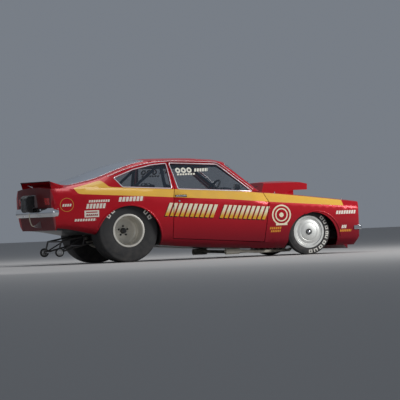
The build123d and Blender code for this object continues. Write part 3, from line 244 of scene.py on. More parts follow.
class Groups:
    """The shader node groups that several finishes share."""

    def build(self) -> None:
        """Makes every group once."""
        new_group("mottle", self.mottle, place=None, scale=8.0, detail=3.0)
        new_group("ground_dust", self.ground_dust, place=None, low=0.05, high=0.5, amount=0.5)
        new_group("weave", self.weave, place=None, thread=500.0)
        new_group(
            "slanted_bars", self.slanted_bars, x=0.0, z=0.0, start=0.0, end=1.0, low=0.0, high=1.0,
            pitch=0.1, fill=0.6, slant=0.3,
        )

    @staticmethod
    def mottle(graph: Graph, place: Socket, scale: Socket, detail: Socket) -> Socket:
        """Slow uneven variation, as two noises of different size."""
        broad, fine = graph.noise(place, scale, detail), graph.noise(place, graph.times(scale, 9.0), 2.0)
        return graph.plus(graph.times(broad, 0.7), graph.times(fine, 0.3))

    @staticmethod
    def ground_dust(graph: Graph, place: Socket, low: Socket, high: Socket, amount: Socket) -> Socket:
        """Dust that gathers low on the car and fades upwards.

        Args:
            graph: The group's graph.
            place: The object coordinate.
            low: The height up to which the dust is whole.
            high: The height at which it ends.
            amount: Its greatest share.

        Returns:
            The dust's mask.
        """
        parts = graph.add("SeparateXYZ", {0: place})
        height = graph.ramp(parts.outputs[2], low, high, 1.0, 0.0)
        patchy = graph.ramp(graph.noise(place, 14.0, 6.0), 0.35, 0.72)
        return graph.times(height, patchy, amount)

    @staticmethod
    def weave(graph: Graph, place: Socket, thread: Socket) -> Socket:
        """A plain weave of two crossing threads.

        Args:
            graph: The group's graph.
            place: The object coordinate.
            thread: How close the threads lie.

        Returns:
            The weave's height.
        """
        x, y, z = graph.add("SeparateXYZ", {0: place}).outputs
        turns = [graph.times(value, thread) for value in (graph.plus(x, y), z)]
        return graph.math("MAXIMUM", *(graph.math("ABSOLUTE", graph.math("SINE", turn)) for turn in turns))

    @staticmethod
    def slanted_bars(
        graph: Graph, x: Socket, z: Socket, start: Socket, end: Socket, low: Socket, high: Socket,
        pitch: Socket, fill: Socket, slant: Socket,
    ) -> Socket:
        """A row of slanted bars, evenly spaced.

        Args:
            graph: The group's graph.
            x: The place along the car.
            z: The height.
            start: Where the row starts.
            end: Where it ends.
            low: The bars' foot.
            high: Their top.
            pitch: The distance from bar to bar.
            fill: The share of it that a bar takes.
            slant: How far the bars lean along the car for their height.

        Returns:
            The bars' mask.
        """
        along = graph.minus(graph.minus(x, graph.times(graph.minus(z, low), slant)), start)
        inside = graph.times(graph.step(along, 0.0), graph.step(graph.minus(end, start), along))
        bar = graph.math("LESS_THAN", graph.math("FRACT", graph.math("DIVIDE", along, pitch)), fill)
        tall = graph.times(graph.step(z, low), graph.step(high, z))
        return graph.times(inside, bar, tall)


# Finishes


@dataclass(frozen=True)
class Finish:
    """A plain finish: a colour that varies slowly, with a little grain in its bump."""

    name: str
    color: Color
    roughness: float = 0.5
    metallic: float = 0.0
    grain: float = 0.1
    grain_scale: float = 60.0
    variation: float = 0.12
    coat: float = 0.0
    coat_roughness: float = 0.06
    dust: float = 0.0
    dust_tone: Color = (0.3, 0.26, 0.22)

    def material(self) -> Material:
        """The finish's material, made on first use."""
        return bpy.data.materials.get(self.name) or self.build()

    def start(self) -> tuple[Material, Graph, Node]:
        """An empty material with its graph and its shader."""
        material = bpy.data.materials.new(self.name)
        material.use_nodes = True
        material.diffuse_color = opaque(self.color)
        return material, Graph(material.node_tree), material.node_tree.nodes["Principled BSDF"]

    def build(self) -> Material:
        """Makes the material."""
        material, graph, shader = self.start()
        place, _ = graph.where()
        value = graph.group("mottle", place=place, scale=self.grain_scale * 0.2)
        color = graph.tones(value, self.color, 1 - self.variation, 1 + self.variation)
        if self.dust:
            mask = graph.group("ground_dust", place=place, amount=self.dust)
            color = graph.mix(mask, color, opaque(self.dust_tone))
        rough = graph.ramp(value, first=self.roughness * 0.85, last=min(1.0, self.roughness * 1.15))
        graph.fill(shader, {
            "Base Color": color, "Roughness": rough, "Metallic": self.metallic,
            "Coat Weight": self.coat, "Coat Roughness": self.coat_roughness,
        })
        if self.grain:
            noise = graph.noise(place, self.grain_scale * 12, 3.0)
            graph.fill(shader, {"Normal": graph.bump(noise, self.grain, 0.0004)})
        return material


@dataclass(frozen=True)
class Bars:
    """A row of slanted bars on the car's side, in metres from the rear axle and the ground."""

    ends: Flat
    heights: Flat
    pitch: float
    fill: float = 0.74
    slant: float = 0.25

    def mask(self, graph: Graph, x: Socket, z: Socket) -> Socket:
        """A mask that is 1 on the bars."""
        (start, end), (low, high) = self.ends, self.heights
        return graph.group(
            "slanted_bars", x=x, z=z, start=start, end=end, low=low, high=high, pitch=self.pitch,
            fill=self.fill, slant=self.slant,
        )


@dataclass(frozen=True)
class Sticker:
    """A small sticker: slanted bars, or a whole plate where its pitch is 0."""

    middle: Flat
    half: Flat
    pitch: float
    tint: Color

    def mask(self, graph: Graph, x: Socket, z: Socket) -> Socket:
        """Paints the sticker.

        Args:
            graph: The material's graph.
            x: The place from the rear axle.
            z: The height.

        Returns:
            A mask that is 1 on the sticker.
        """
        ends, heights = ((middle - half, middle + half) for middle, half in zip(self.middle, self.half))
        if self.pitch:
            return Bars(ends, heights, self.pitch).mask(graph, x, z)
        return graph.times(graph.band(x, *ends), graph.band(z, *heights))


@dataclass(frozen=True)
class Ring:
    """A painted ring, or a disc where its inner radius is 0."""

    middle: Flat
    outer: float
    inner: float
    tint: Color

    def mask(self, graph: Graph, x: Socket, z: Socket) -> Socket:
        """A mask that is 1 on the ring."""
        return graph.band(graph.distance(x, z, self.middle), self.inner, self.outer)


CREAM, STICKER_WHITE = (0.86, 0.8, 0.58), (0.8, 0.76, 0.66)
AMBER, GOLD_RING = (0.66, 0.27, 0.03), (0.6, 0.34, 0.05)
TARGET, BADGE = (2.062, 0.523), (-0.813, 0.757)

STICKERS: tuple[Sticker | Ring, ...] = (
    Sticker((0.026, 0.8), (0.165, 0.029), 0.047, STICKER_WHITE),
    Sticker((-0.393, 0.79), (0.139, 0.015), 0.031, STICKER_WHITE),
    Sticker((-0.44, 0.728), (0.129, 0.031), 0.043, STICKER_WHITE),
    Sticker((-0.495, 0.632), (0.095, 0.043), 0.0, STICKER_WHITE),
    Sticker((-0.495, 0.652), (0.074, 0.007), 0.0, (0.42, 0.02, 0.02)),
    Sticker((-0.495, 0.616), (0.074, 0.012), 0.026, (0.3, 0.03, 0.03)),
    Sticker((-0.582, 0.558), (0.137, 0.015), 0.034, STICKER_WHITE),
    Sticker((-0.813, 0.752), (0.06, 0.016), 0.03, STICKER_WHITE),
    Sticker((2.962, 0.525), (0.138, 0.022), 0.036, STICKER_WHITE),
    Sticker((2.932, 0.339), (0.034, 0.021), 0.024, STICKER_WHITE),
    Sticker((2.953, 0.289), (0.083, 0.014), 0.026, AMBER),
    Sticker((1.976, 0.356), (0.08, 0.015), 0.027, AMBER),
    Sticker((1.976, 0.318), (0.066, 0.013), 0.024, AMBER),
    Sticker((2.062, 0.402), (0.078, 0.012), 0.0, CREAM),
    Ring(TARGET, 0.13, 0.112, CREAM),
    Ring(TARGET, 0.086, 0.07, CREAM),
    Ring(TARGET, 0.03, 0.0, CREAM),
    Ring(BADGE, 0.087, 0.081, GOLD_RING),
)


@dataclass(frozen=True)
class CandyPaint(Finish):
    """Candy red over a metallic base, with the gold belt stripe and generic side markings, and painted shade
    low on the body and behind a given place.
    """

    coat_roughness: float = 0.05
    flake: Color = (0.75, 0.06, 0.05)
    # Painted shade: a darker red toward the bottom of the body, mostly there at the first height and gone at
    # the second.
    sill_shade: Color = (0.12, 0.0005, 0.009)
    sill_shade_fade: Flat = (0.16, 0.6)
    # Painted shade on the faces behind shaded_behind, which is off unless that place lies within the car.
    shaded: Color = (0.07, 0.006, 0.01)
    shaded_behind: float = -9.0
    gold: Color = (0.8, 0.46, 0.07)
    bar_gold: Color = (0.74, 0.4, 0.03)
    bar_shadow: Color = (0.01, 0.008, 0.008)
    marked_y: float = 0.5
    cowl_x: float = 1.9
    fender_y: float = 0.649
    stripe_ends: Flat = (-0.699, 2.938)
    stripe_top: Line = (
        (-0.7, 0.962), (-0.678, 0.968), (-0.5, 1.008), (-0.335, 1.047), (-0.305, 1.046), (-0.275, 1.02),
        (-0.235, 0.972), (-0.19, 0.96), (-0.089, 0.952), (0.595, 0.906), (1.291, 0.862), (1.827, 0.818),
        (1.925, 0.806),
    )
    stripe_low: Line = (
        (-0.7, 0.968), (-0.68, 0.935), (-0.652, 0.892), (-0.6, 0.884), (-0.151, 0.853), (0.421, 0.815),
        (0.785, 0.788), (1.354, 0.75), (1.882, 0.698), (2.932, 0.611), (2.95, 0.61),
    )
    door_bars: tuple[tuple[float, float, int], ...] = ((0.475, 1.15, 10), (1.215, 1.855, 10))
    bar_heights: Flat = (0.604, 0.772)
    bar_fade: Flat = (0.635, 0.715)
    bar_drop: float = 0.072
    shadow_shift: Flat = (0.014, 0.012)

    def build(self) -> Material:
        """Makes the paint with all its markings."""
        material, graph, shader = self.start()
        place, (row_x, y, z) = graph.where()
        x, far_out = graph.plus(row_x, MIDDLE_X), graph.math("ABSOLUTE", y)
        outboard = graph.times(graph.step(far_out, self.marked_y), self.outside(graph, y))
        value = graph.group("mottle", place=place, scale=2.2)
        stripe = graph.times(self.stripe(graph, x, far_out, z), outboard)
        color = graph.mix(stripe, self.red(graph, place, x, z, value), graph.tones(value, self.gold, 0.92))
        color = self.door_band(graph, x, z, outboard, color)
        for mark in STICKERS:
            color = graph.mix(graph.times(mark.mask(graph, x, z), outboard), color, opaque(mark.tint))
        peel = graph.noise(place, 160.0, 1.0)
        graph.fill(shader, {
            "Base Color": color,
            "Metallic": graph.times(graph.minus(1.0, stripe), self.metallic),
            "Roughness": graph.ramp(value, first=self.roughness * 0.85, last=self.roughness * 1.2),
            "Coat Weight": self.coat, "Coat Roughness": self.coat_roughness, "Specular IOR Level": 0.22,
            "Normal": graph.bump(peel, 0.03, 0.0005),
        })
        return material

    def red(self, graph: Graph, place: Socket, x: Socket, z: Socket, value: Socket) -> Socket:
        """The candy red with its flake, with painted shade that darkens it toward the bottom of the body and
        on the spoiler's back.

        Args:
            graph: The material's graph.
            place: The object coordinate.
            x: The place from the rear axle.
            z: The height.
            value: The slow variation.

        Returns:
            The colour.
        """
        flake = graph.add("TexVoronoi", {"Vector": place, "Scale": 1400.0})
        color = graph.tones(value, self.color, 0.82, 1.12)
        color = graph.mix(graph.times(flake, 0.12), color, opaque(self.flake))
        # Painted shade: the red darkens toward the bottom of the body.
        color = graph.mix(graph.ramp(z, *self.sill_shade_fade, 0.92, 0.0), color, opaque(self.sill_shade))
        # Painted shade: everything behind shaded_behind is darkened to the shaded colour.
        return graph.mix(graph.step(self.shaded_behind, x, 0.006), color, opaque(self.shaded))

    def outside(self, graph: Graph, y: Socket) -> Socket:
        """A mask of the panels' outer faces, which keeps the markings off their inner ones.

        Args:
            graph: The material's graph.
            y: The place across the car.

        Returns:
            The mask.
        """
        facing = graph.add("SeparateXYZ", {0: graph.add("TexCoord").outputs["Normal"]}).outputs
        sideways, upward = graph.times(graph.math("SIGN", y), facing[1]), graph.times(facing[2], 0.5)
        return graph.step(graph.plus(sideways, upward), 0.06, 0.02)

    def stripe(self, graph: Graph, x: Socket, far_out: Socket, z: Socket) -> Socket:
        """The belt stripe, which lies on the body side, and ahead of the cowl on the fender's top too.

        Args:
            graph: The material's graph.
            x: The place from the rear axle.
            far_out: The distance from the centreline.
            z: The height.

        Returns:
            The stripe's mask, on inner faces too.
        """
        top, bottom = self.curve(graph, x, self.stripe_top), self.curve(graph, x, self.stripe_low)
        ahead = graph.step(x, self.cowl_x)
        fender = graph.times(ahead, graph.step(far_out, self.fender_y))
        side = graph.times(graph.minus(1.0, ahead), graph.step(top, z))
        return graph.times(graph.step(z, bottom), graph.plus(fender, side), graph.band(x, *self.stripe_ends))

    @staticmethod
    def curve(
        graph: Graph, x: Socket, points: Sequence[Flat], run: Flat = (-1.0, 3.4), rise: Flat = (0.5, 1.2)
    ) -> Socket:
        """A height that follows a line of points along the car.

        Args:
            graph: The material's graph.
            x: The place from the rear axle.
            points: The line's (x, z) points.
            run: The places along the car between which the curve is laid out.
            rise: The heights between which it is.

        Returns:
            The height.
        """
        node = graph.add("FloatCurve", {1: graph.ramp(x, *run)})
        long, tall = run[1] - run[0], rise[1] - rise[0]
        spots = [((px - run[0]) / long, (pz - rise[0]) / tall) for px, pz in points]
        line = node.mapping.curves[0]
        line.points[0].location, line.points[1].location = spots[0], spots[-1]
        for spot in spots[1:-1]:
            line.points.new(*spot)
        for point in line.points:
            point.handle_type = "VECTOR"
        node.mapping.update()
        return graph.plus(graph.times(node, tall), rise[0])

    def door_band(self, graph: Graph, x: Socket, z: Socket, outboard: Socket, color: Socket) -> Socket:
        """Two groups of slanted speed bars along the door, cream above and gold below, with a shadow.

        Args:
            graph: The material's graph.
            x: The place from the rear axle.
            z: The height.
            outboard: The mask of the faces that may be marked.
            color: The colour under the bars.

        Returns:
            The colour with the bars.
        """
        line = graph.plus(z, graph.times(x, self.bar_drop))
        shadow = graph.plus(x, self.shadow_shift[0]), graph.plus(line, self.shadow_shift[1])
        face = graph.mix(graph.ramp(line, *self.bar_fade), opaque(self.bar_gold), opaque(CREAM))
        for start, end, count in self.door_bars:
            bars = Bars((start, end), self.bar_heights, (end - start) / count, 0.66, 0.42)
            for spot, tint in ((shadow, opaque(self.bar_shadow)), ((x, line), face)):
                color = graph.mix(graph.times(bars.mask(graph, *spot), outboard), color, tint)
        return color


@dataclass(frozen=True)
class Glass(Finish):
    """Clear glass with a faint tint and a few smears."""

    alpha: float = 0.25

    def build(self) -> Material:
        """Makes the glass."""
        material, graph, shader = self.start()
        value = graph.group("mottle", place=graph.where()[0], scale=5.0)
        graph.fill(shader, {
            "Base Color": graph.tones(value, self.color, 0.94), "IOR": 1.5, "Alpha": self.alpha,
            "Roughness": graph.ramp(value, first=0.03, last=0.05),
        })
        return material


@dataclass(frozen=True)
class MarkedGlass(Glass):
    """The same glass with three plain cream rings and a few bars in its upper rear corner."""

    cream: Color = (0.8, 0.77, 0.66)
    rings: tuple[float, ...] = (0.735, 0.812, 0.889)
    ring_z: float = 1.14
    bars: tuple[Bars, ...] = (
        Bars((0.955, 1.14), (1.118, 1.158), 0.036, 0.7, 0.3),
        Bars((0.712, 0.96), (1.078, 1.1), 0.036, 0.7, 0.3),
    )

    def build(self) -> Material:
        """Makes the glass and its marks."""
        material = super().build()
        graph, shader = Graph(material.node_tree), material.node_tree.nodes["Principled BSDF"]
        _, (row_x, _, z) = graph.where()
        x = graph.plus(row_x, MIDDLE_X)
        rings = [Ring((middle, self.ring_z), 0.034, 0.014, self.cream) for middle in self.rings]
        mask = 0.0
        for mark in (*rings, *self.bars):
            mask = graph.math("MAXIMUM", mask, mark.mask(graph, x, z))
        tint = shader.inputs["Base Color"].links[0].from_socket
        graph.fill(shader, {
            "Base Color": graph.mix(mask, tint, opaque(self.cream)),
            "Alpha": graph.math("MAXIMUM", mask, self.alpha),
        })
        return material


@dataclass(frozen=True)
class Lens(Finish):
    """Moulded lamp glass, ribbed upright, with the grooves between its ribs painted darker as painted shade.
    """

    rib: float = 0.014

    def build(self) -> Material:
        """Makes the lens."""
        material, graph, shader = self.start()
        _, (_, y, _) = graph.where()
        wave = graph.math("ABSOLUTE", graph.math("SINE", graph.times(y, math.pi / self.rib)))
        # Painted shade: the colour darkens in the grooves between the ribs.
        graph.fill(shader, {
            "Base Color": graph.tones(graph.ramp(wave, 0.0, 0.55), self.color, 0.45),
            "Roughness": self.roughness, "Coat Weight": self.coat, "Normal": graph.bump(wave, 0.6, 0.0015),
        })
        return material


@dataclass(frozen=True)
class SpunMetal(Finish):
    """Turned aluminium, with fine rings about an axis across the car."""

    dust_tone: Color = (0.34, 0.31, 0.27)
    centre: Flat = (0.0, 0.0)
    ring: float = 900.0
    wobble: float = 220.0

    def build(self) -> Material:
        """Makes the turned metal."""
        material, graph, shader = self.start()
        place, (x, _, z) = graph.where()
        far = graph.distance(x, z, (self.centre[0] - MIDDLE_X, self.centre[1]))
        rings = graph.math("SINE", graph.times(far, self.ring))
        streaks = graph.noise(graph.add("CombineXYZ", {0: graph.times(far, self.wobble)}), 1.0, 4.0)
        value = graph.group("mottle", place=place, scale=7.0)
        tone = graph.plus(graph.times(value, 0.6), graph.times(streaks, 0.4))
        color = graph.tones(tone, self.color, 1 - self.variation)
        mask = graph.group("ground_dust", place=place, high=0.7, amount=self.dust)
        graph.fill(shader, {
            "Base Color": graph.mix(mask, color, opaque(self.dust_tone)), "Metallic": self.metallic,
            "Roughness": graph.ramp(tone, first=self.roughness * 0.7, last=self.roughness * 1.3),
            "Normal": graph.bump(rings, self.grain, 0.0002),
        })
        return material


@dataclass(frozen=True)
class Cloth(Finish):
    """Woven cloth with a soft sheen and uneven dye."""

    thread: float = 900.0
    sheen: float = 0.4

    def build(self) -> Material:
        """Makes the cloth."""
        material, graph, shader = self.start()
        place, _ = graph.where()
        value = graph.group("mottle", place=place, scale=9.0)
        threads = graph.group("weave", place=place, thread=self.thread)
        height = graph.plus(graph.times(threads, 0.6), value)
        graph.fill(shader, {
            "Base Color": graph.tones(value, self.color, 1 - self.variation, 1 + self.variation),
            "Roughness": self.roughness, "Sheen Weight": self.sheen,
            "Normal": graph.bump(height, self.grain, 0.0008),
        })
        return material


CANDY_RED, WINDOW_TINT, SHINE = (0.46, 0.001, 0.012), (0.05, 0.064, 0.084), (0.82, 0.83, 0.85)

PAINT = CandyPaint("candy_red_paint", CANDY_RED, 0.34, metallic=0.18, coat=0.2)
# A much darker red on the tail panel and rear pan: painted shade.
SHADED_TAIL_PAINT = CandyPaint("candy_red_tail_painted_shade", (0.085, 0.005, 0.008), 0.5, metallic=0.1, coat=0.05)
# The spoiler's paint darkens its back, behind -0.955, as painted shade.
SPOILER_PAINT = CandyPaint(
    "candy_red_spoiler_paint", CANDY_RED, 0.38, metallic=0.18, coat=0.15, shaded_behind=-0.955
)
BRIGHT_TRIM = Finish("bright_trim", SHINE, 0.3, metallic=0.55, grain=0.02, variation=0.05)
CHROME = Finish("chrome", (0.8, 0.81, 0.83), 0.09, metallic=1.0, grain=0.02, variation=0.05)
DARK_STEEL = Finish("dark_steel", (0.035, 0.034, 0.033), 0.45, metallic=0.6, grain=0.15)
STEEL = Finish("brushed_steel", (0.52, 0.52, 0.53), 0.34, metallic=1.0, grain=0.15, dust=0.3)
ALLOY = Finish("cast_alloy", (0.62, 0.62, 0.61), 0.42, metallic=0.9, grain=0.3)
BLACK_PAINT = Finish("frame_black_paint", (0.022, 0.022, 0.024), 0.45, grain=0.15, coat=0.2, dust=0.4)
CAGE_PAINT = Finish("cage_blue_black_paint", (0.02, 0.035, 0.065), 0.32, grain=0.08, coat=0.5)
IRON = Finish("engine_paint", (0.045, 0.047, 0.052), 0.55, grain=0.5, grain_scale=40, dust=0.2)
HEADER_COAT = Finish("header_white_coat", (0.66, 0.62, 0.52), 0.55, grain=0.3, variation=0.25, dust=0.2)
PLASTIC = Finish("black_moulded_plastic", (0.018, 0.018, 0.019), 0.5, grain=0.35)
DASH_VINYL = Finish("dash_vinyl", (0.035, 0.045, 0.062), 0.42, grain=0.5, grain_scale=80)
SEAT_SHELL = Finish("black_seat_shell", (0.03, 0.03, 0.032), 0.35, grain=0.1, coat=0.3)
RUBBER = Finish(
    "matte_black_rubber", (0.017, 0.017, 0.018), 0.7, grain=0.4, grain_scale=50, variation=0.25,
    dust=0.12,
)
LETTER_WHITE = Finish("raised_white_rubber", (0.72, 0.7, 0.64), 0.7, grain=0.2, variation=0.15, dust=0.3)
LAMP_RED = Lens("lamp_red_lens", (0.62, 0.006, 0.006), 0.22, coat=0.25, rib=0.008)
LAMP_CLEAR = Lens("lamp_clear_lens", (0.36, 0.39, 0.42), 0.14, coat=1.0)
GAUGE_WHITE = Finish("gauge_white_face", (0.8, 0.8, 0.78), 0.4, grain=0.0)
FRONT_SPUN = SpunMetal(
    "front_disc_spun_metal", (0.76, 0.77, 0.74), 0.42, metallic=0.5, grain=0.05,
    variation=0.14, dust=0.45, centre=(WHEELBASE, 0.292),
)
REAR_SPUN = SpunMetal(
    "rear_dish_spun_metal", (0.8, 0.77, 0.69), 0.42, metallic=0.45, grain=0.08,
    variation=0.28, dust=0.5, centre=(0.0, 0.401),
)
PACK_CLOTH = Cloth("pack_nylon", (0.012, 0.012, 0.013), 0.8, grain=0.5, sheen=0.25)
SEAT_CLOTH = Cloth("seat_weave", (0.022, 0.022, 0.026), 0.9, grain=0.6)
WEBBING = Cloth("cream_webbing", (0.7, 0.65, 0.5), 0.85, grain=0.6, thread=1600.0)
HARNESS = Cloth("harness_webbing", (0.012, 0.016, 0.03), 0.8, grain=0.5, thread=1600.0)
CLEAR_GLASS = Glass("tinted_window_glass", WINDOW_TINT, alpha=0.24)
DOOR_GLASS = MarkedGlass("door_glass_with_marks", WINDOW_TINT, alpha=0.24)
# Pale blue-grey and mostly opaque: a painted reflection on the sloping hatch glass.
HATCH_GLASS_WITH_REFLECTION = Glass("hatch_glass_painted_reflection", (0.4, 0.45, 0.52), alpha=0.8)
FLOOR_PAINT = Finish("studio_floor_paint", (0.42, 0.41, 0.4), 0.85, grain=0.0, variation=0.02)


# Shapes


@dataclass
class Solid:
    """A bmesh that grows by blocks, discs and other solids."""

    bm: BMesh = field(default_factory=bmesh.new)

    def join(self, other: "Solid") -> "Solid":
        """Adds another solid.

        Args:
            other: The solid, which is freed here.

        Returns:
            This solid.
        """
        mesh = bpy.data.meshes.new("join")
        other.bm.to_mesh(mesh)
        other.bm.free()
        self.bm.from_mesh(mesh)
        bpy.data.meshes.remove(mesh)
        return self

    def block(self, low: Vector, high: Vector) -> "Solid":
        """Adds a block.

        Args:
            low: Its least corner.
            high: Its greatest corner.

        Returns:
            This solid.
        """
        verts = bmesh.ops.create_cube(self.bm, size=1.0)["verts"]
        bmesh.ops.scale(self.bm, vec=high - low, verts=verts)
        bmesh.ops.translate(self.bm, vec=(low + high) / 2, verts=verts)
        return self

    def block_at(self, middle: Vector, half: Point) -> "Solid":
        """Adds a block about its middle, with half its measures."""
        return self.block(middle - Vector(half), middle + Vector(half))

    def disc(
        self, centre: Vector, along: Vector, radius: float, depth: float, segments: int = 32
    ) -> "Solid":
        """Adds a cylinder.

        Args:
            centre: Its middle.
            along: The direction of its axis.
            radius: Its radius.
            depth: Its length.
            segments: Its number of sides.

        Returns:
            This solid.
        """
        turn = along.normalized().to_track_quat("Z", "Y").to_matrix().to_4x4()
        bmesh.ops.create_cone(
            self.bm, cap_ends=True, segments=segments, radius1=radius, radius2=radius, depth=depth,
            matrix=Matrix.Translation(centre) @ turn,
        )
        return self

    def faced_out(self) -> "Solid":
        """Turns every face outwards."""
        bmesh.ops.recalc_face_normals(self.bm, faces=self.bm.faces)
        return self


def mirrored(half: Sequence[Flat]) -> list[Flat]:
    """A half section's other half, in the order that closes it."""
    return [(radius, -y) for radius, y in reversed(half)]


def turned(
    profile: Sequence[Flat], centre: Vector, segments: int = 96, closed: bool = True, outward: int = -1
) -> Solid:
    """Spins a profile about an axis across the car.

    Args:
        profile: (radius, y) points, with y from the centre and outboard negative.
        centre: The wheel's centre.
        segments: The number of steps round.
        closed: Whether the profile's last point joins its first.
        outward: The sign of the outboard direction.

    Returns:
        The turned solid.
    """
    bm = bmesh.new()
    verts = [bm.verts.new(centre + Vector((radius, -outward * y, 0.0))) for radius, y in profile]
    edges = [bm.edges.new(pair) for pair in zip(verts, verts[1:] + (verts[:1] if closed else []))]
    bmesh.ops.spin(
        bm, geom=[*verts, *edges], cent=centre, axis=ACROSS, angle=math.tau, steps=segments, use_merge=True
    )
    bmesh.ops.remove_doubles(bm, verts=bm.verts, dist=0.00003)
    return Solid(bm).faced_out()


def bolt_circle(centre: Vector, radius: float, y: float, count: int = 5) -> list[Vector]:
    """The places of bolts round a wheel's centre, shifted across the car by y."""
    return [centre + Vector((radius * c, y, radius * s)) for c, s in full_turn(count, 90.0)]


def linked(name: str, data: bpy.types.ID) -> Object:
    """A new object, linked to the scene."""
    obj = bpy.data.objects.new(name, data)
    bpy.context.scene.collection.objects.link(obj)
    return obj


BODY_OF = {node: body for body, nodes in frame["record"]["behaviour"]["bodies"].items() for node in nodes}


@dataclass
class Maker:
    """Turns solids into finished pieces of the car."""

    made: list[str] = field(default_factory=list)

    def piece(
        self, name: str, solid: Solid, finish: Finish, slot: str, body: str = "chassis",
        replaces: Iterable[str] = (), angle: float = 30.0, bevel: float = 0.0, subdivide: int = 0,
    ) -> Object:
        """Makes an object from a solid and lets it ride on a body.

        Args:
            name: The piece's name.
            solid: Its shape, which is freed here.
            finish: Its finish.
            slot: The record's material slot.
            body: The CAD body that carries it.
            replaces: The CAD nodes that it stands for.
            angle: Edges sharper than this, in degrees, stay sharp.
            bevel: The width of a bevel on its sharp edges, or 0.
            subdivide: The levels of a subdivision surface, or 0.

        Returns:
            The new object.
        """
        mesh = bpy.data.meshes.new(name)
        solid.bm.to_mesh(mesh)
        solid.bm.free()
        mesh.shade_smooth()
        mesh.set_sharp_from_angle(angle=math.radians(angle))
        mesh.materials.append(finish.material())
        obj = linked(name, mesh)
        if bevel:
            modifier = obj.modifiers.new("edge", "BEVEL")
            modifier.width, modifier.segments = bevel, 2
            modifier.limit_method, modifier.angle_limit = "ANGLE", math.radians(angle)
            modifier.harden_normals = True
        if subdivide:
            modifier = obj.modifiers.new("round", "SUBSURF")
            modifier.levels = modifier.render_levels = subdivide
        self.dress(obj, body, slot, replaces)
        return obj

    def dress(self, obj: Object, body: str, slot: str, replaces: Iterable[str] = ()) -> None:
        """Parents an object to its body, hides the CAD nodes that it stands for and lists it as made.

        Args:
            obj: The object.
            body: The CAD body that carries it.
            slot: Not used.
            replaces: The CAD nodes that it stands for.
        """
        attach(obj, body)
        nodes = list(replaces)
        if nodes:
            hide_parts(*nodes)
        self.made.append(obj.name)
        log.info("piece %s on %s", obj.name, body)

    def node_solid(self, node: str) -> Solid:
        """A merged copy of a CAD node's mesh."""
        bm = bmesh.new()
        bm.from_mesh(frame["nodes"][node].data)
        bmesh.ops.remove_doubles(bm, verts=bm.verts, dist=0.00002)
        return Solid(bm)

    def smooth_copy(
        self, node: str, finish: Finish, slot: str, angle: float = 28.0, bevel: float = 0.0
    ) -> Object:
        """Stands a merged, smoothly shaded copy in a CAD node's place.

        Args:
            node: The CAD node.
            finish: The copy's finish.
            slot: The record's material slot.
            angle: Edges sharper than this, in degrees, stay sharp.
            bevel: The width of a bevel on its sharp edges, or 0.

        Returns:
            The new object.
        """
        solid = self.node_solid(node)
        bmesh.ops.dissolve_degenerate(solid.bm, dist=0.00001, edges=solid.bm.edges)
        return self.piece(node + "_smooth", solid, finish, slot, BODY_OF[node], [node], angle, bevel)

    def tube(
        self, name: str, points: Sequence[Vector], radius: float, finish: Finish, slot: str,
        body: str = "chassis", cyclic: bool = False, flat: float = 1.0, smooth: bool = False,
    ) -> Object:
        """Runs a round or flattened bar along points.

        Args:
            name: The piece's name.
            points: The bar's centre line.
            radius: Its radius.
            finish: Its finish.
            slot: The record's material slot.
            body: The body that carries it.
            cyclic: Whether the line closes on itself.
            flat: How much of the radius the bar keeps across the car.
            smooth: Whether the line is a smooth curve that follows its points.

        Returns:
            The new object.
        """
        holder = linked(name + "_line", bar_curve(name + "_line", points, radius, cyclic, smooth))
        mesh = bpy.data.meshes.new_from_object(holder.evaluated_get(bpy.context.evaluated_depsgraph_get()))
        bpy.data.objects.remove(holder)
        bm = bmesh.new()
        bm.from_mesh(mesh)
        bpy.data.meshes.remove(mesh)
        bmesh.ops.remove_doubles(bm, verts=bm.verts, dist=0.00001)
        if flat != 1.0:
            for vert in bm.verts:
                near = min(points, key=lambda p: (p - vert.co).length_squared)
                vert.co.y = near.y + (vert.co.y - near.y) * flat
        return self.piece(name, Solid(bm), finish, slot, body, angle=40.0)


def bar_curve(
    name: str, points: Sequence[Vector], radius: float, cyclic: bool = False, smooth: bool = True,
    rounds: int = 3, steps: int = 8,
) -> bpy.types.Curve:
    """A curve of one spline with a round section.

    Args:
        name: The curve's name.
        points: Its points.
        radius: Its section's radius.
        cyclic: Whether it closes on itself.
        smooth: Whether it is a smooth curve that follows its points.
        rounds: The fineness of its section.
        steps: The steps from point to point of a smooth curve.

    Returns:
        The curve.
    """
    curve = bpy.data.curves.new(name, "CURVE")
    curve.dimensions = "3D"
    curve.bevel_depth, curve.bevel_resolution = radius, rounds
    curve.use_fill_caps = not cyclic
    spline = curve.splines.new("NURBS" if smooth else "POLY")
    spline.points.add(len(points) - 1)
    for spot, point in zip(spline.points, points):
        spot.co = (*point, 1.0)
    spline.use_cyclic_u = cyclic
    if smooth:
        spline.order_u = 3
        spline.use_endpoint_u = not cyclic
        spline.resolution_u = steps
    return curve


def from_side(x: float, z: float, side: Side) -> Ray:
    """A ray that meets a side of the car from outside."""
    return at(x, side.value * 2.0, z), ACROSS * -side.value


def from_above(x: float, y: float) -> Ray:
    """A ray that meets the car from above."""
    return at(x, y, 3.0), -UP


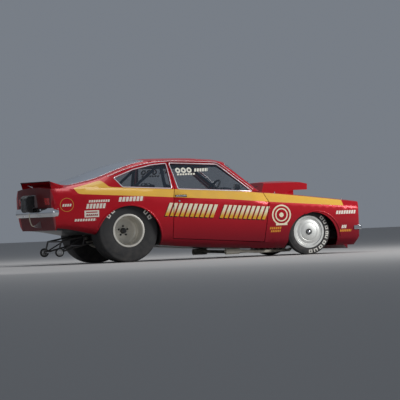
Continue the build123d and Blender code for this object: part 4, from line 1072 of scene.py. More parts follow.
@dataclass
class Probe:
    """Finds points on the outer surface of a shape."""

    tree: BVHTree

    @classmethod
    def on(cls, *nodes: str) -> "Probe":
        """Makes a probe of CAD nodes.

        Args:
            nodes: The nodes' names.

        Returns:
            The probe.
        """
        bm = bmesh.new()
        for node in nodes:
            bm.from_mesh(frame["nodes"][node].data)
        tree = BVHTree.FromBMesh(bm)
        bm.free()
        return cls(tree)

    def cast(self, ray: Ray, proud: float = 0.0) -> Vector | None:
        """The first surface point on a ray, or None, standing proud by a distance."""
        found, normal, _, _ = self.tree.ray_cast(*ray)
        return None if found is None else found + normal * proud

    def line(self, rays: Iterable[Ray], proud: float = 0.0) -> list[Vector]:
        """The surface points of those rays that meet the surface."""
        return [spot for spot in (self.cast(ray, proud) for ray in rays) if spot is not None]

    def spot(self, ray: Ray, proud: float = 0.0) -> Vector:
        """The surface point of a ray that has to meet the surface."""
        found = self.cast(ray, proud)
        if found is None:
            raise ValueError(f"no surface from {ray[0]}")
        return found


def smoothed(line: Sequence[Vector], cyclic: bool) -> list[Vector]:
    """A line with each point drawn toward its neighbours."""
    around = [line[-1], *line, line[0]] if cyclic else [line[0], *line, line[-1]]
    return [(before + here * 2 + after) / 4 for before, here, after in zip(around, around[1:], around[2:])]


# Body


@dataclass
class Bodywork:
    """The painted panels, panes and lamps, as smooth copies of their CAD nodes."""

    maker: Maker
    painted: tuple[str, ...] = (
        "roof_panel", "cowl_panel", "nose_panel", "front_valance", "hatch", "hood", "hood_scoop",
        "body_side_right", "body_side_left", "fender_right", "fender_left", "door_panel_right",
        "door_panel_left",
    )
    shaded: tuple[str, ...] = ("tail_panel", "rear_pan")
    panes: tuple[str, ...] = ("windshield", "quarter_glass_right", "quarter_glass_left")
    marked_panes: tuple[str, ...] = ("door_glass_right", "door_glass_left")
    bumper_levels: int = 10
    bumper_draw: float = 0.02

    def build(self) -> None:
        """Dresses panels, panes, bumpers and lamps."""
        for nodes, finish, slot in (
            (self.painted, PAINT, "body_paint"),
            # The tail and rear pan take the darker red as painted shade.
            (self.shaded, SHADED_TAIL_PAINT, "body_paint"),
            (("rear_spoiler",), SPOILER_PAINT, "body_paint"),
            (self.panes, CLEAR_GLASS, "window_glass"),
            (self.marked_panes, DOOR_GLASS, "window_glass"),
            # The hatch glass carries a painted reflection.
            (("hatch_glass",), HATCH_GLASS_WITH_REFLECTION, "window_glass"),
            (("tail_lamps",), LAMP_RED, "lamp_red"),
            (("headlamps",), LAMP_CLEAR, "lamp_clear"),
        ):
            for node in nodes:
                self.maker.smooth_copy(node, finish, slot)
        self.maker.smooth_copy("front_bumper", CHROME, "chrome_trim", 34.0, 0.009)
        self.rear_bumper()

    def rear_bumper(self) -> None:
        """The rear bumper with its face rounded from top to bottom, drawn in at both edges."""
        solid = self.maker.node_solid("rear_bumper")
        bm = solid.bm
        heights, lengths = [vert.co.z for vert in bm.verts], [vert.co.x for vert in bm.verts]
        low, high, rear, front = min(heights), max(heights), min(lengths), max(lengths)
        for level in range(1, self.bumper_levels):
            height = UP * (low + (high - low) * level / self.bumper_levels)
            geometry = [*bm.verts, *bm.edges, *bm.faces]
            bmesh.ops.bisect_plane(bm, geom=geometry, plane_co=height, plane_no=UP, dist=0.00002)
        bm.normal_update()
        moves = []
        for vert in bm.verts:
            iron = abs(vert.co.y) < 0.5 and vert.co.x > rear + 0.05
            out = Vector((vert.normal.x, vert.normal.y, 0.0))
            if iron or out.length < 0.2:
                continue
            out.normalize()
            if out.dot(Vector((vert.co.x - front, vert.co.y, 0.0))) < 0.0:
                out = -out
            share = (2 * vert.co.z - low - high) / (high - low)
            moves.append((vert, out * (-self.bumper_draw * share**2)))
        for vert, move in moves:
            vert.co += move
        self.maker.piece(
            "rear_bumper_smooth", solid, CHROME, "chrome_trim", replaces=["rear_bumper"], angle=34.0
        )


@dataclass
class Bare:
    """The CAD nodes whose shape stays, each with its finish."""

    finishes: dict[Finish, tuple[str, ...]] = field(
        default_factory=lambda: {
            BLACK_PAINT: (
                "floor_pan", "front_frame", "control_arms", "axle_housing", "rear_suspension",
                "rear_crossbar", "wheelie_bars", "door_frame_right", "door_frame_left",
            ),
            STEEL: ("tie_rod", "driveshaft", "parachute_mount", "knuckle_right", "knuckle_left"),
            PLASTIC: ("grille", "steering_wheel"),
            ALLOY: ("steering_rack",),
            IRON: ("engine_block",),
            HEADER_COAT: ("exhaust_headers",),
            DARK_STEEL: ("axle_shafts",),
            CAGE_PAINT: ("roll_cage",),
            DASH_VINYL: ("dashboard",),
            SEAT_SHELL: ("driver_seat",),
        }
    )

    def build(self) -> None:
        """Gives each node its material."""
        for finish, nodes in self.finishes.items():
            for node in nodes:
                materials = frame["nodes"][node].data.materials
                materials.clear()
                materials.append(finish.material())


# Wheels


@dataclass(frozen=True)
class TyreShape:
    """A tyre's section, in metres, with the plain raised marks on its wall."""

    radius: float
    width: float
    rim: float
    shoulder: float
    block_low: float
    block_high: float
    blocks: Line
    grooves: tuple[float, ...] = ()
    strokes: tuple[tuple[Flat, Flat], ...] = (
        ((0.0, 0.3), (0.0, 1.0)), ((0.7, 1.0), (0.0, 1.0)), ((0.3, 0.7), (0.0, 0.26)),
        ((0.3, 0.7), (0.74, 1.0)),
    )
    groove: Line = ((0.0026, 0.0), (0.002, 0.004), (-0.002, 0.004), (-0.0026, 0.0))

    def wall(self, radius: float) -> float:
        """The wall's distance from the tyre's middle at a radius."""
        low, high = self.rim + 0.002, self.radius - self.shoulder
        t = min(1.0, max(0.0, (radius - low) / (high - low)))
        return self.width / 2 - 0.005 - 0.002 * t + 0.005 * 4 * t * (1 - t)

    def profile(self) -> list[Flat]:
        """The whole closed section, from one bead over the tread to the other.

        Returns:
            (radius, y) points.
        """
        bead, tread = self.width / 2 - 0.005, self.width / 2 - 0.007
        low, high = self.rim + 0.002, self.radius - self.shoulder
        half = [(self.rim - 0.018, bead), (self.rim + 0.0005, bead)]
        for step in range(13):
            radius = low + (high - low) * step / 12
            half.append((radius, self.wall(radius) - (0.0012 if step in (1, 10) else 0.0)))
        half += [(high + self.shoulder * s, tread - self.shoulder * (1 - c)) for c, s in arc(0, 90, 6)[1:]]
        edge = (tread - self.shoulder) * 0.5
        middles = sorted(self.grooves, reverse=True)
        marks = [(self.radius - depth, middle + shift) for middle in middles for shift, depth in self.groove]
        return half + (marks or [(self.radius, edge), (self.radius, -edge)]) + mirrored(half)

    def build(self, centre: Vector) -> Solid:
        """The tyre on its wheel centre."""
        return turned(self.profile(), centre, 128)

    def letters(self, centre: Vector, outward: int) -> Solid:
        """The plain white marks on the outer wall, each an open frame of three or four strokes.

        Args:
            centre: The wheel's centre.
            outward: The sign of the outer side.

        Returns:
            The marks.
        """
        solid = Solid()
        for number, block in enumerate(self.blocks):
            for across, upward in self.strokes[: 3 if number % 3 == 1 else 4]:
                self.stroke(solid.bm, centre, outward, block, across, upward)
        return solid.faced_out()

    def stroke(
        self, bm: BMesh, centre: Vector, outward: int, block: Flat, across: Flat, upward: Flat
    ) -> None:
        """Adds one raised stroke of a mark, bent along the wall.

        Args:
            bm: The shape that gets it.
            centre: The wheel's centre.
            outward: The sign of the outer side.
            block: The mark's start and end, in degrees.
            across: The stroke's share of the mark's length.
            upward: Its share of the mark's height.
        """
        tall = self.block_high - self.block_low
        rings = []
        for share in (across[0], sum(across) / 2, across[1]):
            angle = math.radians(block[0] + (block[1] - block[0]) * share)
            ring = []
            for level in range(4):
                radius = self.block_low + tall * (upward[0] + (upward[1] - upward[0]) * level / 3)
                x, z = radius * math.cos(angle), radius * math.sin(angle)
                for proud in (-0.002, 0.0008):
                    y = outward * (self.wall(radius) + proud)
                    ring.append(bm.verts.new(centre + Vector((x, y, z))))
            rings.append(ring)
        loop = [0, 2, 4, 6, 7, 5, 3, 1]
        for first, last in zip(rings, rings[1:]):
            for a, b in zip(loop, loop[1:] + loop[:1]):
                bm.faces.new((first[a], first[b], last[b], last[a]))
        for ring in (rings[0], rings[-1]):
            for k in (0, 2, 4):
                bm.faces.new((ring[k], ring[k + 1], ring[k + 3], ring[k + 2]))


@dataclass
class RearWheels:
    """The two slicks on their deep dished rims, with lug nuts and a hex cap."""

    maker: Maker
    centre_y: float = 0.602
    height: float = 0.401
    lug_circle: float = 0.0603
    lug_y: float = 0.05
    cap_y: float = 0.012
    tyre: TyreShape = TyreShape(
        radius=0.401, width=0.342, rim=0.212, shoulder=0.026, block_low=0.3, block_high=0.352,
        blocks=((25, 34), (39, 48), (125, 134), (139, 148)),
    )
    rim: Line = (
        (0.189, -0.1705), (0.2, -0.1712), (0.208, -0.1712), (0.2116, -0.1695), (0.2118, -0.1675),
        (0.194, -0.1665), (0.194, 0.1665), (0.2118, 0.1675), (0.2118, 0.17), (0.188, 0.17), (0.186, 0.15),
        (0.186, 0.06), (0.19, 0.048), (0.15, 0.073), (0.136, 0.069), (0.036, 0.069), (0.036, 0.0555),
        (0.078, 0.055), (0.084, 0.0575), (0.096, 0.056), (0.146, 0.063), (0.16, 0.0625), (0.172, 0.055),
        (0.181, 0.04), (0.1835, 0.03), (0.179, 0.026), (0.179, 0.02), (0.185, 0.016), (0.1852, -0.06),
        (0.1832, -0.064), (0.1832, -0.07), (0.1852, -0.074), (0.1856, -0.146), (0.1875, -0.164),
    )

    def build(self) -> None:
        """Makes both wheels as pieces on the rear axle: a rolled lip, a stepped barrel and a dished disc."""
        tyres, letters, rims, caps, nuts = (Solid() for _ in range(5))
        for side in BOTH:
            out = side.value
            centre = at(0.0, out * self.centre_y, self.height)
            tyres.join(self.tyre.build(centre))
            letters.join(self.tyre.letters(centre, out))
            rims.join(turned(self.rim, centre, outward=out))
            caps.disc(centre - ACROSS * (out * self.cap_y), ACROSS, 0.032, 0.024, 6)
            for spot in bolt_circle(centre, self.lug_circle, -out * self.lug_y):
                nuts.disc(spot, ACROSS, 0.0125, 0.024, 6)
        piece, axle = self.maker.piece, "rear_wheels"
        piece("rear_slicks", tyres, RUBBER, "tyre_rubber", axle, ["rear_tyres"])
        piece("rear_slick_marks", letters, LETTER_WHITE, "tyre_rubber", axle, angle=20)
        obj = piece("rear_dished_rims", rims, REAR_SPUN, "wheel_alloy", axle, ["rear_rims"])
        obj.modifiers.new("edge", "BEVEL").width = 0.0008
        piece("rear_hub_caps", caps, BLACK_PAINT, "bare_steel", axle, bevel=0.002)
        piece("rear_lug_nuts", nuts, DARK_STEEL, "bare_steel", axle, bevel=0.0015)


@dataclass
class FrontWheels:
    """The two front wheels: flush turned discs with a dark hub ring and a bright cap."""

    maker: Maker
    centre_y: float = 0.68
    height: float = 0.292
    screw_circle: float = 0.029
    screw_y: float = 0.064
    tyre: TyreShape = TyreShape(
        radius=0.292, width=0.112, rim=0.208, shoulder=0.014, block_low=0.232, block_high=0.272,
        blocks=(
            (-92, -81), (-76, -64), (-58, -46), (-41, -29), (-22, -12), (-10, 0), (5, 16), (22, 33),
            (37, 49),
        ),
        grooves=(-0.03, -0.01, 0.01, 0.03),
    )
    disc: Line = (
        (0.184, -0.0545), (0.203, -0.055), (0.2065, -0.0548), (0.2078, -0.053), (0.2078, -0.0522),
        (0.19, -0.0515), (0.19, 0.0515), (0.2078, 0.052), (0.2078, 0.0538), (0.1825, 0.0538),
        (0.1825, -0.04), (0.174, -0.037), (0.156, -0.037), (0.11, -0.042), (0.056, -0.042), (0.052, 0.01),
        (0.146, 0.01), (0.146, 0.022), (0.048, 0.022), (0.044, 0.048), (0.0174, 0.048), (0.0174, -0.056),
        (0.034, -0.056), (0.052, -0.056), (0.055, -0.053), (0.108, -0.0495), (0.112, -0.0478),
        (0.116, -0.0492), (0.15, -0.0452), (0.154, -0.0436), (0.158, -0.0446), (0.172, -0.0446),
        (0.18, -0.05),
    )
    hub_ring: Line = (
        (0.018, -0.054), (0.04, -0.054), (0.04, -0.06), (0.037, -0.063), (0.022, -0.064),
        (0.018, -0.0625),
    )
    cap: Line = (
        (0.0, -0.0695), (0.008, -0.069), (0.014, -0.0675), (0.0175, -0.065), (0.0185, -0.062),
        (0.0185, -0.054),
    )

    def build(self) -> None:
        """Makes each wheel as pieces on its own spindle."""
        for side in BOTH:
            word, out, body = side.word, side.value, f"front_wheel_{side.word}"
            centre = at(WHEELBASE, out * self.centre_y, self.height)
            screws = Solid()
            for spot in bolt_circle(centre, self.screw_circle, out * self.screw_y):
                screws.disc(spot, ACROSS, 0.0042, 0.006, 6)
            letters = self.tyre.letters(centre, out)
            disc = turned(self.disc, centre, 128, outward=out)
            ring = turned(self.hub_ring, centre, 64, outward=out)
            cap = turned(self.cap, centre, 48, closed=False, outward=out)
            for name, solid, finish, slot, replaces, angle in (
                ("runner", self.tyre.build(centre), RUBBER, "tyre_rubber", [f"front_tyre_{word}"], 30),
                ("runner_marks", letters, LETTER_WHITE, "tyre_rubber", [], 20),
                ("disc_wheel", disc, FRONT_SPUN, "wheel_alloy", [f"front_rim_{word}"], 24),
                ("hub_ring", ring, BLACK_PAINT, "bare_steel", [], 30),
                ("hub_cap", cap, CHROME, "bare_steel", [], 40),
                ("hub_screws", screws, STEEL, "bare_steel", [], 30),
            ):
                self.maker.piece(f"front_{name}_{word}", solid, finish, slot, body, replaces, angle)


@dataclass
class WheelieWheels:
    """The two small wheels behind the axle, with their hubs and rod."""

    maker: Maker
    axle: Flat = (-0.778, 0.158)
    wheel_y: float = 0.305
    nut_y: float = 0.314
    tread: Line = (
        (0.041, -0.015), (0.05, -0.0165), (0.054, -0.015), (0.0565, -0.0105), (0.057, -0.004),
    )
    hub: Line = (
        (0.0, -0.017), (0.02, -0.017), (0.022, -0.0155), (0.0245, -0.008), (0.034, -0.006),
        (0.038, -0.009), (0.0395, -0.015), (0.0425, -0.015),
    )

    def build(self) -> None:
        """Makes tyres, hubs and rod."""
        tyres, hubs = Solid(), Solid()
        x, z = self.axle
        for side in BOTH:
            centre = at(x, side.value * self.wheel_y, z)
            tyres.join(turned([*self.tread, *mirrored(self.tread)], centre, 64))
            hubs.join(turned([*self.hub, *mirrored(self.hub)], centre, 48, closed=False))
            hubs.disc(at(x, side.value * self.nut_y, z), ACROSS, 0.0105, 0.014, 6)
        hubs.disc(at(x, 0.0, z), ACROSS, 0.0079, 0.62, 24)
        body = "wheelie_wheels"
        self.maker.piece("wheelie_tyres", tyres, RUBBER, "tyre_rubber", body, ["wheelie_wheels"])
        self.maker.piece("wheelie_hubs", hubs, ALLOY, "bare_steel", body)


# Trim


def rounded(points: Sequence[Flat], out: float, bend: float, step: float = 0.03) -> list[Flat]:
    """A closed outline moved out and sampled, with its corners rounded.

    Args:
        points: The outline's corners.
        out: How far it moves out.
        bend: The distance from a corner at which its bend starts.
        step: The greatest distance between samples.

    Returns:
        Points along the line.
    """
    flat = [Vector(point) for point in points]
    area = sum(a.x * b.y - b.x * a.y for a, b in zip(flat, flat[1:] + flat[:1]))
    turn = 1.0 if area > 0 else -1.0
    moved = []
    for before, here, after in zip(flat[-1:] + flat, flat, flat[1:] + flat[:1]):
        into, leave = (here - before).normalized(), (after - here).normalized()
        first = Vector((into.y, -into.x)) * turn
        middle = (first + Vector((leave.y, -leave.x)) * turn).normalized()
        moved.append(here + middle * (out / middle.dot(first)))
    line = []
    for before, here, after in zip(moved[-1:] + moved, moved, moved[1:] + moved[:1]):
        start = here + (before - here).normalized() * bend
        stop = here + (after - here).normalized() * bend
        for share in (0.0, 0.25, 0.5, 0.75, 1.0):
            line.append(start * (1 - share) ** 2 + here * 2 * share * (1 - share) + stop * share**2)
        rest = (after + (here - after).normalized() * bend) - stop
        pieces = int(rest.length / step)
        line.extend(stop + rest * (k / pieces) for k in range(1, pieces))
    return [(p.x, p.y) for p in line]


@dataclass
class Trim:
    """Bright mouldings, arch lips, handles, hood pins, lamps' rings and wipers."""

    maker: Maker
    door_window: Line = ((0.694, 0.912), (0.64, 1.232), (1.276, 1.195), (1.692, 0.848))
    quarter_window: Line = (
        (-0.126, 1.072), (-0.046, 0.963), (0.596, 0.922), (0.584, 1.23), (0.383, 1.216), (0.143, 1.168),
        (0.003, 1.118),
    )
    moulding: float = 0.0058
    moulding_out: float = 0.0075
    corner: float = 0.022
    pane_moulding: float = 0.0055
    rail: float = 0.0034
    rail_line: Line = (
        (1.742, 0.862), (1.62, 0.963), (1.5, 1.063), (1.4, 1.146), (1.345, 1.19), (1.3, 1.217),
        (1.24, 1.232), (1.1, 1.244), (0.9, 1.255), (0.7, 1.264), (0.5, 1.263), (0.34, 1.247),
        (0.2, 1.222), (0.05, 1.183), (-0.08, 1.14), (-0.2, 1.095),
    )
    front_arch: Point = (2.536, 0.204, 0.353)
    rear_arch: Point = (0.0, 0.289, 0.438)
    lip: float = 0.011
    handle: Flat = (0.706, 0.808)
    lock: Flat = (0.679, 0.75)
    pins: Line = ((2.08, 0.56), (2.08, -0.56), (3.03, 0.5), (3.03, -0.5))
    lamp: Flat = (0.512, 0.53)
    lamp_ring: float = 0.092

    def build(self) -> None:
        """Makes the trim of both sides and of both ends."""
        for side in BOTH:
            word = side.word
            door = Probe.on(f"door_panel_{word}", f"door_glass_{word}")
            body = Probe.on(
                f"body_side_{word}", f"quarter_glass_{word}", "roof_panel", f"fender_{word}", "hatch"
            )
            self.window("door_window_moulding", self.door_window, door, side, f"door_{word}")
            self.window("quarter_window_moulding", self.quarter_window, body, side, "chassis")
            rail = body.line([from_side(x, z, side) for x, z in self.rail_line], 0.003)
            self.maker.tube(f"drip_rail_{word}", rail, self.rail, BRIGHT_TRIM, "chrome_trim", smooth=True)
            self.arch_lips(body, side)
            self.door_handle(door, side)
        self.pane_edge("windshield", ("roof_panel", "cowl_panel", "hood"), 1.72)
        self.pane_edge("hatch_glass", ("hatch", "roof_panel"), -0.16)
        self.hood_pins()
        self.lamp_rings()
        self.wipers()

    def window(self, name: str, outline: Sequence[Flat], probe: Probe, side: Side, body: str) -> None:
        """A flat bright moulding round a side window.

        Args:
            name: The piece's name, without its side.
            outline: The window's corners.
            probe: The surface that it lies on.
            side: The side of the car.
            body: The body that carries it.
        """
        rays = [from_side(x, z, side) for x, z in rounded(outline, self.moulding_out, self.corner)]
        line = [spot + ACROSS * (side.value * 0.0015) for spot in probe.line(rays)]
        self.maker.tube(
            f"{name}_{side.word}", line, self.moulding, BRIGHT_TRIM, "chrome_trim", body, cyclic=True,
            flat=0.5,
        )

    def pane_edge(self, pane: str, around: Sequence[str], middle: float) -> None:
        """A narrow bright moulding along the edge of a large pane, which is found from above by halving.

        Args:
            pane: The pane's node.
            around: The nodes round it.
            middle: A place along the car within the pane.
        """
        glass, skin = Probe.on(pane), Probe.on(pane, *around)
        line = []
        for c, s in full_turn(240):
            within, beyond = 0.0, 1.2
            for _ in range(14):
                far = (within + beyond) / 2
                ray = from_above(middle + far * c, far * s)
                on_glass = glass.cast(ray)
                clear = on_glass is not None and (on_glass - skin.spot(ray)).length < 0.0002
                within, beyond = (far, beyond) if clear else (within, far)
            line.append(skin.spot(from_above(middle + within * c, within * s), 0.001))
        self.maker.tube(
            f"{pane}_moulding", smoothed(line, True), self.pane_moulding, BRIGHT_TRIM, "chrome_trim",
            BODY_OF[pane], cyclic=True,
        )

    def arch_lips(self, probe: Probe, side: Side) -> None:
        """The rolled lips round both wheel openings.

        Args:
            probe: The side's surface.
            side: The side of the car.
        """
        for name, (x, z, radius), turns, foot in (
            ("front_arch_lip", self.front_arch, arc(2, 170, 28), []),
            ("rear_arch_lip", self.rear_arch, arc(0, 180, 28), [(self.rear_arch[2], 0.23)]),
        ):
            spots = foot + [(x + radius * c, z + radius * s) for c, s in turns]
            line = smoothed(probe.line([from_side(*spot, side) for spot in spots], 0.001), False)
            self.maker.tube(
                f"{name}_{side.word}", line, self.lip, PAINT, "body_paint", flat=0.8, smooth=True
            )

    def door_handle(self, probe: Probe, side: Side) -> None:
        """A bright pull in a shallow dark recess, and the lock under it.

        Args:
            probe: The door's surface.
            side: The side of the car.
        """
        word, body = side.word, f"door_{side.word}"
        spot = probe.spot(from_side(*self.handle, side))
        plate = Solid().block_at(spot, (0.078, 0.004, 0.021))
        grip = Solid().block_at(spot + Vector((0.0, side.value * 0.007, 0.007)), (0.072, 0.005, 0.009))
        lock = Solid().disc(probe.spot(from_side(*self.lock, side)), ACROSS, 0.012, 0.006)
        for name, solid, finish, bevel in (
            ("door_handle_recess", plate, PLASTIC, 0.003),
            ("door_handle", grip, CHROME, 0.004),
            ("door_lock", lock, CHROME, 0.001),
        ):
            self.maker.piece(f"{name}_{word}", solid, finish, "chrome_trim", body, bevel=bevel)

    def hood_pins(self) -> None:
        """Four pins with their plates, two at each end of the hood."""
        probe = Probe.on("hood", "hood_scoop")
        plates, pins = Solid(), Solid()
        for x, y in self.pins:
            spot = probe.spot(from_above(x, y))
            plates.disc(spot, UP, 0.02, 0.004)
            pins.disc(spot + UP * 0.01, UP, 0.0055, 0.022, 20)
            pins.disc(spot + UP * 0.012, ACROSS, 0.0018, 0.046, 12)
        self.maker.piece("hood_pin_plates", plates, CHROME, "chrome_trim", "hood_lid", bevel=0.001)
        self.maker.piece("hood_pins", pins, STEEL, "bare_steel", "hood_lid")

    def lamp_rings(self) -> None:
        """Bright rings round the headlamps."""
        nose = Probe.on("nose_panel", "headlamps", "front_valance", "grille")
        y, z = self.lamp
        for side in BOTH:
            round_lamp = [
                (at(4.5, side.value * y + self.lamp_ring * c, z + self.lamp_ring * s), -AHEAD)
                for c, s in full_turn(48)
            ]
            name = f"headlamp_ring_{side.word}"
            self.maker.tube(name, nose.line(round_lamp), 0.008, CHROME, "chrome_trim", cyclic=True)

    def wipers(self) -> None:
        """Two parked wipers along the windshield's foot."""
        probe = Probe.on("windshield", "cowl_panel", "hood")
        arms, blades = Solid(), Solid()
        for start_y, end_y in ((-0.1, -0.46), (0.34, -0.04)):
            foot = probe.spot(from_above(1.925, start_y), 0.01)
            tip = probe.spot(from_above(1.87 - 0.06 * abs(end_y), end_y), 0.014)
            arms.disc((foot + tip) / 2, tip - foot, 0.0035, (tip - foot).length, 10)
            arms.disc(foot, UP, 0.013, 0.022, 24)
            blades.disc(tip - UP * 0.004, tip - foot, 0.0045, 0.36, 8)
        self.maker.piece("wiper_arms", arms, BLACK_PAINT, "bare_steel")
        self.maker.piece("wiper_blades", blades, PLASTIC, "grille_black")


# Padding, cloth and cabin


@dataclass
class Padding:
    """Stuffed cloth: a smaller block that a short cloth simulation puffs out."""

    voxel: float
    pressure: float
    frames: int
    cap: float

    def puff(self, block: Solid) -> Solid:
        """Puffs a closed shape.

        Args:
            block: The shape before it swells, which is freed here.

        Returns:
            The swollen shape, of which no point has moved by more than the cap.
        """
        mesh = bpy.data.meshes.new("pad")
        block.bm.to_mesh(mesh)
        block.bm.free()
        obj = linked("pad", mesh)
        remesh = obj.modifiers.new("even", "REMESH")
        remesh.mode, remesh.voxel_size = "VOXEL", self.voxel
        self.bake(obj)
        self.swell(obj)
        bm, done = bmesh.new(), obj.data
        bm.from_mesh(done)
        bpy.data.objects.remove(obj)
        bpy.data.meshes.remove(done)
        bmesh.ops.smooth_vert(
            bm, verts=bm.verts, factor=0.5, use_axis_x=True, use_axis_y=True, use_axis_z=True
        )
        return Solid(bm)

    def swell(self, obj: Object) -> None:
        """Lets pressure puff an object out, and holds each point within the cap of its place.

        Args:
            obj: The object, whose mesh is replaced.
        """
        rest = [vert.co.copy() for vert in obj.data.vertices]
        cloth = obj.modifiers.new("cloth", "CLOTH")
        cloth.settings.quality = 6
        cloth.settings.use_pressure = True
        cloth.settings.uniform_pressure_force = self.pressure
        cloth.settings.effector_weights.gravity = 0.0
        cloth.point_cache.frame_start, cloth.point_cache.frame_end = 1, self.frames
        scene = bpy.context.scene
        for number in range(1, self.frames + 1):
            scene.frame_set(number)
        self.bake(obj)
        scene.frame_set(1)
        for vert, start in zip(obj.data.vertices, rest):
            move = vert.co - start
            if move.length > self.cap:
                vert.co = start + move.normalized() * self.cap

    def bake(self, obj: Object) -> None:
        """Replaces an object's mesh by its evaluated one and drops its modifiers.

        Args:
            obj: The object.
        """
        mesh = bpy.data.meshes.new_from_object(obj.evaluated_get(bpy.context.evaluated_depsgraph_get()))
        old = obj.data
        obj.modifiers.clear()
        obj.data = mesh
        bpy.data.meshes.remove(old)


def prism(points: Sequence[Flat], middle_y: float, half_width: float, bevel: float) -> Solid:
    """A prism across the car with rounded edges.

    Args:
        points: Its outline's (x, z) points, from the rear axle.
        middle_y: Its middle across the car.
        half_width: Half its width.
        bevel: The radius of its edges.

    Returns:
        The prism.
    """
    bm = bmesh.new()
    near, far = (
        [bm.verts.new(at(x, middle_y + y, z)) for x, z in points] for y in (-half_width, half_width)
    )
    bm.faces.new(near)
    bm.faces.new(far[::-1])
    for a, b, c, d in zip(near, far, far[1:] + far[:1], near[1:] + near[:1]):
        bm.faces.new((a, b, c, d))
    solid = Solid(bm).faced_out()
    bmesh.ops.bevel(
        bm, geom=bm.edges[:], offset=bevel, segments=3, profile=0.5, affect="EDGES", material=-1,
        clamp_overlap=True,
    )
    return solid


def ribbon(points: Sequence[Vector], across: Vector, width: float, thickness: float) -> Solid:
    """A flat strap along points.

    Args:
        points: The middle of the strap.
        across: The direction of its width.
        width: Its width.
        thickness: Its thickness.

    Returns:
        The closed strap.
    """
    bm = bmesh.new()
    rings = []
    ends = [points[0], *points, points[-1]]
    for before, point, after in zip(ends, points, ends[2:]):
        along = (after - before).normalized()
        side = (across - along * across.dot(along)).normalized()
        up = along.cross(side)
        corners = ((1, 1), (-1, 1), (-1, -1), (1, -1))
        rings.append([bm.verts.new(point + (side * a * width + up * b * thickness) / 2) for a, b in corners])
    for first, second in zip(rings, rings[1:]):
        for k in range(4):
            bm.faces.new((first[k], first[(k + 1) % 4], second[(k + 1) % 4], second[k]))
    bm.faces.new(rings[0][::-1])
    bm.faces.new(rings[-1])
    return Solid(bm).faced_out()


def eased(points: Sequence[Vector], steps: int = 6) -> list[Vector]:
    """A smooth line through points, as a Catmull-Rom curve.

    Args:
        points: The points.
        steps: The steps from point to point.

    Returns:
        The line's points.
    """
    line = []
    around = [points[0], *points, points[-1]]
    for a, b, c, d in zip(around, around[1:], around[2:], around[3:]):
        for step in range(steps):
            t = step / steps
            bend = (2 * a - 5 * b + 4 * c - d) * t**2 + (3 * b - a - 3 * c + d) * t**3
            line.append((2 * b + (c - a) * t + bend) / 2)
    return [*line, points[-1]]


def pull(y: float, middles: Iterable[float], width: float) -> float:
    """How far straps or seams at some places across draw cloth in, as a share."""
    return sum(math.exp(-(((y - middle) / width) ** 2)) for middle in middles)


@dataclass
class ParachutePack:
    """The stuffed nylon pack on the tail, with its flap, straps and buckles."""

    maker: Maker
    outline: Line = (
        (-1.03, 0.743), (-1.03, 0.893), (-1.106, 0.89), (-1.127, 0.858), (-1.127, 0.704), (-1.109, 0.676),
        (-1.058, 0.676), (-1.058, 0.743),
    )
    middle: Flat = (-1.083, 0.785)
    half_width: float = 0.15
    swelling: float = 0.007
    strap_places: Flat = (-0.072, 0.072)
    strap: Flat = (0.026, 0.0022)
    strap_draw: float = 0.0022
    buckle: Point = (0.002, 0.018, 0.015)
    flap_half: float = 0.128
    flap_turns: tuple[float, float, int] = (74.0, 192.0, 20)
    flap_columns: int = 16

    def build(self) -> None:
        """Makes the pack and what is sewn to it."""
        block = prism(self.outline, 0.0, self.half_width - self.swelling, 0.01)
        pack = Padding(voxel=0.005, pressure=5.0, frames=20, cap=0.0065).puff(block)
        probe = Probe(BVHTree.FromBMesh(pack.bm))
        self.sag(pack.bm)
        obj = self.maker.piece(
            "parachute_pack_cover", pack, PACK_CLOTH, "pack_cloth", replaces=["parachute_pack"], angle=60,
            subdivide=1,
        )
        straps, buckles = Solid(), Solid()
        for y in self.strap_places:
            rays = [self.inward(y, turn) for turn in arc(62, 242, 24)]
            straps.join(ribbon(probe.line(rays, 0.003), ACROSS, *self.strap))
            buckles.block_at(probe.line(rays, 0.006)[9], self.buckle)
        self.maker.piece(
            "parachute_pack_straps", straps, HARNESS, "strap_webbing", angle=40, bevel=0.0006
        )
        self.maker.piece(
            "parachute_pack_buckles", buckles, DARK_STEEL, "bare_steel", angle=40, bevel=0.001
        )
        self.flap(probe)

    def inward(self, y: float, turn: Flat) -> Ray:
        """A ray toward the pack's middle from a direction in the side view."""
        x, z = self.middle
        far = Vector((turn[0], 0.0, turn[1]))
        return at(x, y, z) + far * 0.4, -far

    def sag(self, bm: BMesh) -> None:
        """Pulls the pack in under its straps and lets its faces crease.

        Args:
            bm: The swollen pack.
        """
        for vert in bm.verts:
            _, y, z = vert.co
            crease = 0.0012 * math.sin(z * 95 + 3 * math.sin(y * 40)) + 0.0009 * math.sin(y * 120 + z * 60)
            vert.co -= vert.normal * (self.strap_draw * pull(y, self.strap_places, 0.016) + crease)

    def flap(self, probe: Probe) -> None:
        """The cover flap with its bound edge, folded down over the pack's back.

        Args:
            probe: The pack's surface before its straps draw it in.
        """
        places = [self.flap_half * (2 * k / self.flap_columns - 1) for k in range(self.flap_columns + 1)]
        rows = [
            [probe.spot(self.inward(y, turn), 0.0018) for y in places] for turn in arc(*self.flap_turns)
        ]
        bm = bmesh.new()
        grid = [[bm.verts.new(point) for point in row] for row in rows]
        for first, second in zip(grid, grid[1:]):
            for a, b, c, d in zip(first, first[1:], second[1:], second):
                bm.faces.new((a, b, c, d))
        flap = Solid(bm).faced_out()
        obj = self.maker.piece("parachute_pack_flap", flap, PACK_CLOTH, "pack_cloth", angle=60)
        thick = obj.modifiers.new("thick", "SOLIDIFY")
        thick.thickness, thick.offset = 0.0024, 0.0
        edge = [row[0] for row in rows] + rows[-1][1:-1] + [row[-1] for row in reversed(rows)]
        self.maker.tube("parachute_flap_binding", edge, 0.0022, PACK_CLOTH, "pack_cloth")


